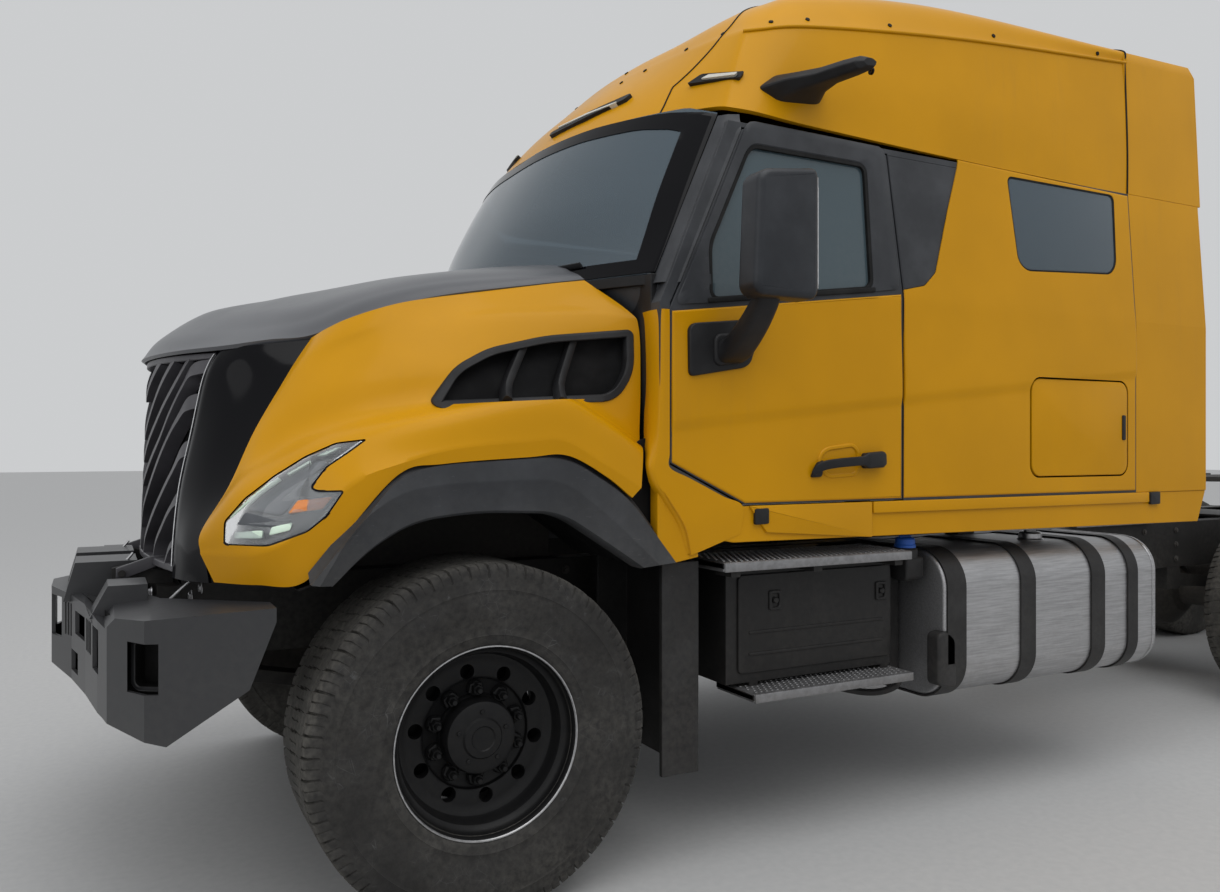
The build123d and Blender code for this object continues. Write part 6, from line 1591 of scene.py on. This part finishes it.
class TRACTOR_OT_steps(bpy.types.Operator):
    """Adds the step treads, the battery box's door with its latches, and the tanks with their caps"""

    bl_idname = "tractor.steps"
    bl_label = "Steps and tanks"

    def execute(self, context):
        upper = join(rounded_box((-1.760, .900, 1.030), (-.870, 1.202, 1.064), .006),
                     grips(-1.75, -.88, .91, 1.195, 1.064))
        lower = join(rounded_box((-1.768, .960, .556), (-1.000, 1.202, .586), .006),
                     grips(-1.76, -1.01, .97, 1.195, .586))
        lips = join(*[sweep(np.array([(x, 1.2005, z) for x in np.linspace(a, b, 12)]),
                            rectangle(-.004, -.016, .004, .016, .003, 3), up=(0, 0, 1))
                      for a, b, z in ((-1.755, -.875, 1.045), (-1.763, -1.005, .570))])
        piece("step_treads", both(join(upper, lower, lips)), "tread_plate", sharp=35)
        face = on_plane((0, 1.090, 0), (-1, 0, 0), (0, 0, 1))
        door = pad(rectangle(1.005, .635, 1.745, 1.000, .02, 4), face, .010, .005, .002, 4)
        ribs = [pad(rectangle(1.05, z, 1.70, z + .012, .005, 3), face, .014, .003, 0.0) for z in (.70, .78)]
        plates = [band(rectangle(x, .862, x + .056, .936, .008, 4),
                       rectangle(x + .012, .874, x + .044, .924, .006, 4), face, .018, .003, 0.0) for x in (1.140,
                                                            1.662)]
        knobs = [lathe([(0, 0), (.012, 0), (.012, .020), (.009, .024), (0, .024)], (-x, 1.090, .899),
                       16) for x in (1.168, 1.690)]
        arms = [sweep(line([(x, .95, .61), (x, 1.02, .600), (x, 1.10, .575), (x, 1.18, .566)], 14),
                      rectangle(-.03, -.006, .03, .006, .004, 3), up=(0, 0, 1)) for x in (-1.06, -1.70)]
        hangers = [sweep(np.array([(x, y, 1.020) for y in np.linspace(1.088, 1.19, 8)]),
                         rectangle(-.02, -.012, .02, .012, .004, 3), up=(0, 0, 1)) for x in (-.93, -1.30, -1.70)]
        piece("battery_box_fronts", both(join(door, *ribs, *plates, *knobs)), "step_box", sharp=35)
        piece("step_arms", both(join(*arms, *hangers)), "chassis", sharp=35)
        self.tanks()
        return {"FINISHED"}

    def tanks(self):
        """Tank: a rounded outline carried along x and drawn in at both ends, with weld rings, caps and guard."""
        section = rectangle(.560, .450, 1.210, 1.050, .150, 12)
        body = bar(section, CROSSWAYS, -3.280, -1.930, .020, 5)
        piece("tank_shells", both(body), "tank", "chassis", ["fuel_tanks"], sharp=30)
        path = np.concatenate([np.full((len(section), 1), -3.245), section], 1)
        weld_ring = sweep(path, ring_section(.0035, 6), up=(1, 0, 0), closed=True)
        neck = lathe([(0, 1.03), (.058, 1.03), (.058, 1.052), (.052, 1.058), (0, 1.058)], (-2.680, 1.000, 0), 40, "z")
        cap = lathe([(0, 1.058), (.050, 1.058), (.050, 1.078), (.044, 1.086), (.030, 1.088), (.026, 1.084),
                     (0, 1.084)], (-2.680, 1.000, 0), 40, "z")
        grip = pad(rectangle(-2.712, .990, -2.648, 1.010, .006), on_plane((0, 0, 1.084), (1, 0, 0), (0, 1, 0)), .010,
                   .004, 0.0)
        piece("tank_caps", both(join(weld_ring, neck, cap, grip)), "steel", sharp=35)
        filler = lathe([(0, 1.02), (.050, 1.02), (.050, 1.055), (.044, 1.062), (0, 1.062)], (-1.840, 1.080, 0), 32, "z")
        guard = bar(rounded([(1.885, .520), (1.985, .500), (1.985, .700), (1.945, .735), (1.885, .725)], .02, 5),
                    on_plane((0, 1.15, 0), (-1, 0, 0), (0, 0, 1)), 0.0, .068, .012)
        side_tank = bar(rectangle(.62, .47, .96, 1.02, .05, 6), CROSSWAYS, -1.925, -1.785, .012, 4)
        neck_low = bar(rectangle(1.03, .93, 1.13, 1.03, .02, 4), CROSSWAYS, -1.895, -1.80, .010, 4)
        hoses = [sweep(line(points, 30), ring_section(.014, 10),
                       up=(0.1, 0.2, 1)) for points in ([(-1.84, .98, 1.03), (-1.80, .90, 1.045), (-1.74, .80, 1.05),
                                                         (-1.70, .70, 1.03)], [(-1.80, 1.10, .56), (-1.78, 1.08, .50),
                                                            (-1.70, 1.0, .47), (-1.55, .85, .50)])]
        piece("tank_guards", both(join(filler, guard, side_tank, neck_low, *hoses)), "black_plastic", sharp=35)
        blue = lathe([(0, 1.062), (.043, 1.062), (.043, 1.072), (.040, 1.076), (.040, 1.096), (.034, 1.103),
                      (0, 1.103)], (-1.840, 1.080, 0), 24, "z")
        wing = pad(rectangle(-1.872, 1.074, -1.808, 1.086, .004), on_plane((0, 0, 1.100), (1, 0, 0), (0, 1, 0)), .012,
                   .004, 0.0)
        piece("blue_caps", both(join(blue, wing)), "blue_cap", sharp=35)


BUMPER_PLAN = [(.633, 1.22), (1.050, .930), (1.074, .800), (1.107, .550), (1.150, .300), (1.215, .100), (1.215, -.100)]


def on_bumper(y, z, h):
    """Front of the bumper at (y, z): straight between the corners of its plan."""
    y, z, h = np.broadcast_arrays(y, z, h)
    ys = np.array([p[1] for p in BUMPER_PLAN])[::-1]
    xs = np.array([p[0] for p in BUMPER_PLAN])[::-1]
    return np.stack([np.interp(y, ys, xs) + h, y, z], -1)


class TRACTOR_OT_bumper(bpy.types.Operator):
    """Adds the bumper's slots as near-black pads of painted shade, inner plates, bolts and tilt rods, and the liner
    over each front wheel
    """

    bl_idname = "tractor.bumper"
    bl_label = "Bumper"

    def execute(self, context):
        # Slots: near-black pads 1.2 mm proud of the bumper face in place of openings, which is painted shade.
        slots = [pad(rectangle(y - .0045, .835, y + .0045, .945, .004, 4), on_bumper, .0012, .0004,
                     0.0) for y in (.245, .272, .299)]
        slots += [pad(rectangle(y - .0045, .835, y + .0045, .935, .004, 4), on_bumper, .0012, .0004,
                      0.0) for y in (.585, .612, .639, .666)]
        z = np.linspace(.700, .975, 4)
        back = np.stack([np.stack([np.full(4, x - .034), np.full(4, y), z], -1) for x, y in BUMPER_PLAN[1:]])
        plate_back = facing(grid(back), on_bumper, (0.5, .85))
        wing = on_plane((1.05, .93, 0), (-.821, .571, 0), (0, 0, 1))
        pocket = pad(rounded([(-.01, .72), (.30, .76), (.30, .985), (-.01, .985)], .02), wing, -.045, .004, .060)
        rim_out = rectangle(.075, .782, .182, .938, .03, 6)
        ring = band(rim_out, grown(rim_out, -.012), wing, .003, .002, .02)
        tube = band(grown(rim_out, -.010), grown(rim_out, -.013), wing, 0.0, .0005, .060, rows=1)
        piece("bumper_backing", both(join(plate_back, pocket, tube, *slots)), "recess", sharp=35)
        piece("bumper_window_rings", both(ring), "bumper", sharp=35)
        bolts = bolt_heads([(.972, .25, 1.056), (.912, .45, .985), (.800, .60, .986), (.770, .60, 1.010)], "x", .013,
                           .012)
        rods = [sweep(np.array(p), ring_section(.0045, 8),
                      up=(0, 1, 0)) for p in ([(1.031, .25, 1.018), (.996, .25, 1.060), (.962, .25, 1.101)],
                                              [(.880, .55, .955), (.845, .55, .99), (.805, .55, 1.026)])]
        piece("bumper_bolts", both(join(bolts, *rods)), "steel", sharp=35)
        arch = bent([(.560, 1.055), (.490, 1.078), (.392, 1.185), (.222, 1.268), (-.028, 1.300), (-.284, 1.268),
                     (-.460, 1.150), (-.560, 1.070)], .08, 6)
        arch = along(arch, 60)
        y = np.linspace(.62, 1.16, 14)
        liner = np.stack([np.stack([arch[:, 0], np.full(60, v), arch[:, 1] + .004 * np.cos(v * 60)], -1) for v in y])
        liner_shape = facing(grid(liner), on_plane((0, .9, 1.2), (0, 1, 0), (1, 0, 0)), (0, 0))
        piece("wheel_arch_liners", both(liner_shape), "recess", "hood", wall=.005, weld=True)
        return {"FINISHED"}


def cushion(low, high, crown, channels, axis, softness=0.5):
    """Crowned pad: a rounded block whose faces swell by the product of two cosines and dip along sewn channels.

    A sphere's two angles give each direction; powers of its cosines square it off to the block, its height
    over the face is raised by crown * cos * cos, and each channel takes a narrow bell-shaped dip out of it.
    """
    low, high = np.asarray(low, float), np.asarray(high, float)
    centre, half = (low + high) / 2, (high - low) / 2
    a = np.linspace(-np.pi / 2, np.pi / 2, 49)[:, None]
    b = np.linspace(0, 2 * np.pi, 96, endpoint=False)[None]
    power = lambda q: np.sign(q) * np.abs(q) ** softness
    unit = np.stack([power(np.cos(a)) * power(np.cos(b)), power(np.cos(a)) * power(np.sin(b)),
                     power(np.sin(a)) * np.ones_like(b)], -1)
    unit = np.clip(unit, -1, 1)
    others = [k for k in range(3) if k != axis]
    flat = 1 - np.abs(unit[..., others[0]]) ** 4
    swell = crown * flat * (1 - np.abs(unit[..., others[1]]) ** 4)
    for where in channels:
        swell = swell - crown * 1.3 * np.exp(-((unit[..., others[1]] - where) / 0.045) ** 2) * flat
    pull = 1 - 0.05 * (1 - np.abs(unit[..., others[0]])) * np.abs(unit[..., others[1]]) ** 6
    points = unit * half
    points[..., axis] += np.sign(unit[..., axis]) * swell * (np.abs(unit[..., axis]) > 0.5)
    points[..., others[1]] *= pull
    return outward(grid(points + centre, wrap_cols=True))


def tilted(shape, about, angle):
    """The shape turned about a level line across the vehicle."""
    about = np.asarray(about, float)
    return (shape[0] - about) @ turns_about("y", np.array([angle]))[0].T + about, shape[1]


class TRACTOR_OT_interior(bpy.types.Operator):
    """Adds the seat and bunk cushions"""

    bl_idname = "tractor.interior"
    bl_label = "Interior"

    def execute(self, context):
        for side, sign in (("left", 1), ("right", -1)):
            y0, y1 = sorted((.345 * sign, .815 * sign))
            seat = cushion((-1.790, y0, 1.575), (-1.275, y1, 1.700), .016, (-.45, .45), 2)
            back = tilted(cushion((-1.900, y0, 1.690), (-1.780, y1, 2.260), .014, (-.45, .1, .6), 0),
                          (-1.84, 0, 1.70), math.radians(-7))
            head = tilted(cushion((-1.905, y0 + .12, 2.275), (-1.815, y1 - .12, 2.425), .012, (), 0),
                          (-1.84, 0, 1.70), math.radians(-7))
            for name, shape in (("base", seat), ("back", back), ("headrest", head)):
                pad_piece = piece(f"seat_{name}_{side}", shape, "seat_cloth", "chassis", ["seats"], sharp=60, weld=True)
            base = rounded_box((-1.80, y0 + .02, 1.555), (-1.29, y1 - .02, 1.600), .015)
            piece(f"seat_frame_{side}", base, "trim", "chassis", ["seats"])
        mattress = cushion((-3.045, -1.145, 1.840), (-2.325, 1.145, 1.985), .010, (-.6, -.2, .2, .6), 2, 0.3)
        piece("bunk_mattress", mattress, "bunk_cloth", "chassis", ["bunk"], sharp=60, weld=True)
        piece("bunk_base", rounded_box((-3.050, -1.148, 1.800), (-2.322, 1.148, 1.855), .012), "trim", "chassis",
              ["bunk"])
        return {"FINISHED"}


class TRACTOR_OT_rear(bpy.types.Operator):
    """Adds the air springs, frame bolts and tail lamp lenses behind the cab"""

    bl_idname = "tractor.rear"
    bl_label = "Rear"

    def execute(self, context):
        lobes = [(0, .565), (.070, .565), (.098, .585), (.106, .612), (.096, .640), (.086, .655), (.096, .670),
                 (.106, .698), (.098, .725), (.075, .745), (0, .745)]
        bellows = join(*[lathe(line(lobes, 41), (x - .33, .385, 0), 40, "z") for _, x in DRIVE_AXLES])
        piece("air_spring_bellows", both(bellows), "rubber", sharp=60, weld=True)
        at = [(x, .432, z) for x in (-.35, -.62, -1.35, -2.15, -2.95, -3.75, -4.35, -4.65, -5.55, -5.9, -6.1, -7.0,
                                     -7.25) for z in (.80, .885, .97)]
        piece("frame_bolts", both(bolt_heads(at, "y", .012, .012)), "cast", sharp=35)
        lamp_face = on_plane((-7.4105, 0, 0), (0, -1, 0), (0, 0, 1))
        lenses = [pad(ring_section(.027, 24) + (-y, .870), lamp_face, .007, .005, 0.0, 4) for y in (.475, .540, .605)]
        piece("tail_lamp_lenses", both(join(*lenses)), "red_lens")
        return {"FINISHED"}


CAD_FINISH = {
    "paint": ["luggage_door_left", "luggage_door_right", "extenders", "sill_skirts", "rear_fenders"],
    "charcoal": ["cab_sides", "door_left", "door_right", "quarter_panels", "fender_flares"],
    "grille": ["grille"],
    "gloss_black": ["grille_surround"],
    "black_plastic": ["cab_end_walls", "mirror_left", "mirror_right", "camera_arms", "mudguards", "tank_straps",
                      "side_vents"],
    "bumper": ["front_bumper"],
    "chassis": ["frame_rails", "crossmembers", "suspension", "bumper_mount", "fifth_wheel_base"],
    "cast": ["front_axle", "tie_rod", "knuckle_left", "knuckle_right", "drive_axles", "engine_block", "fifth_wheel"],
    "rim_black": ["front_rim_left", "front_rim_right", "drive1_rims_left", "drive1_rims_right",
                  "drive2_rims_left", "drive2_rims_right"],
    "tank": ["fuel_tanks"],
    "tread_plate": ["deck_plate"],
    "step_box": ["step_boxes"],
    "trim": ["dashboard", "cab_floor"],
    "seat_cloth": ["seats", "bunk"],
    "windshield": ["cab_glass"],
    "side_glass": ["door_glass_left", "door_glass_right"],
    "lens": ["headlamps"],
    "red_lens": ["tail_lamps"],
}


class TRACTOR_OT_cad_finishes(bpy.types.Operator):
    """Gives each CAD node its finish and rounds its edges"""

    bl_idname = "tractor.cad_finishes"
    bl_label = "CAD finishes"

    def execute(self, context):
        for finish, nodes in CAD_FINISH.items():
            for node in nodes:
                dress(node, finish, 0.0 if finish in ("windshield", "side_glass") else context.scene.tractor_sizes.edge)
        return {"FINISHED"}


class TRACTOR_OT_stage(bpy.types.Operator):
    """Adds the floor, the lamps, the sky and the camera"""

    bl_idname = "tractor.stage"
    bl_label = "Stage"

    def execute(self, context):
        build_stage()
        return {"FINISHED"}


class TractorSizes(bpy.types.PropertyGroup):
    """Sizes that a user may change"""

    edge: FloatProperty(name="Edge", description="Rounding on the frame's own pieces", unit="LENGTH", default=0.003)
    hood_wall: FloatProperty(name="Hood wall", description="Thickness of the hood sides", unit="LENGTH", default=0.012)
    nut_radius: FloatProperty(name="Nut", description="Radius of the front nuts", unit="LENGTH", default=0.0185)
    tread_blocks: IntProperty(name="Tread blocks", description="Blocks round a front tyre", min=12, default=54)


class TractorColors(bpy.types.PropertyGroup):
    """Colours of the main finishes"""

    paint: FloatVectorProperty(name="Paint", description="Body paint", subtype="COLOR", size=3, min=0, max=1,
                               default=(0.56, 0.262, 0.002))
    charcoal: FloatVectorProperty(name="Charcoal", description="Matt plastic of the flares and door frames",
                                  subtype="COLOR", size=3, min=0, max=1, default=(0.026, 0.028, 0.032))
    bumper: FloatVectorProperty(name="Bumper", description="Powder coat of the bumper", subtype="COLOR", size=3,
                                min=0, max=1, default=(0.020, 0.021, 0.024))
    glass: FloatVectorProperty(name="Glass", description="Tint of the windows", subtype="COLOR", size=3, min=0, max=1,
                               default=(0.075, 0.115, 0.135))
    tyre: FloatVectorProperty(name="Tyre", description="Tyre rubber", subtype="COLOR", size=3, min=0, max=1,
                              default=(0.007, 0.007, 0.008))


class TRACTOR_PT_panel(bpy.types.Panel):
    """Sizes, colours and the pieces of the tractor unit"""

    bl_label = "Tractor unit"
    bl_idname = "TRACTOR_PT_panel"
    bl_space_type = "VIEW_3D"
    bl_region_type = "UI"
    bl_category = "Tractor"

    def draw(self, context):
        for group in (context.scene.tractor_sizes, context.scene.tractor_colors):
            for key in type(group).__annotations__:
                self.layout.prop(group, key)
        for operator in OPERATORS:
            self.layout.operator(operator.bl_idname)


OPERATORS = [TRACTOR_OT_stage, TRACTOR_OT_cad_finishes, TRACTOR_OT_hood, TRACTOR_OT_nose, TRACTOR_OT_roof,
             TRACTOR_OT_cab,
             TRACTOR_OT_windshield, TRACTOR_OT_mirrors, TRACTOR_OT_wheels, TRACTOR_OT_steps, TRACTOR_OT_bumper,
             TRACTOR_OT_interior, TRACTOR_OT_rear]
CLASSES = [TractorSizes, TractorColors, *OPERATORS, TRACTOR_PT_panel]


def register():
    for cls in CLASSES:
        bpy.utils.register_class(cls)
    bpy.types.Scene.tractor_sizes = PointerProperty(type=TractorSizes)
    bpy.types.Scene.tractor_colors = PointerProperty(type=TractorColors)


def unregister():
    del bpy.types.Scene.tractor_sizes, bpy.types.Scene.tractor_colors
    for cls in reversed(CLASSES):
        bpy.utils.unregister_class(cls)


def main():
    """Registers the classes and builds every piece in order."""
    register()
    build_finishes(bpy.context.scene.tractor_colors)
    for operator in OPERATORS:
        group, name = operator.bl_idname.split(".")
        getattr(getattr(bpy.ops, group), name)()
    bpy.context.view_layer.update()


if __name__ == "__main__":
    main()
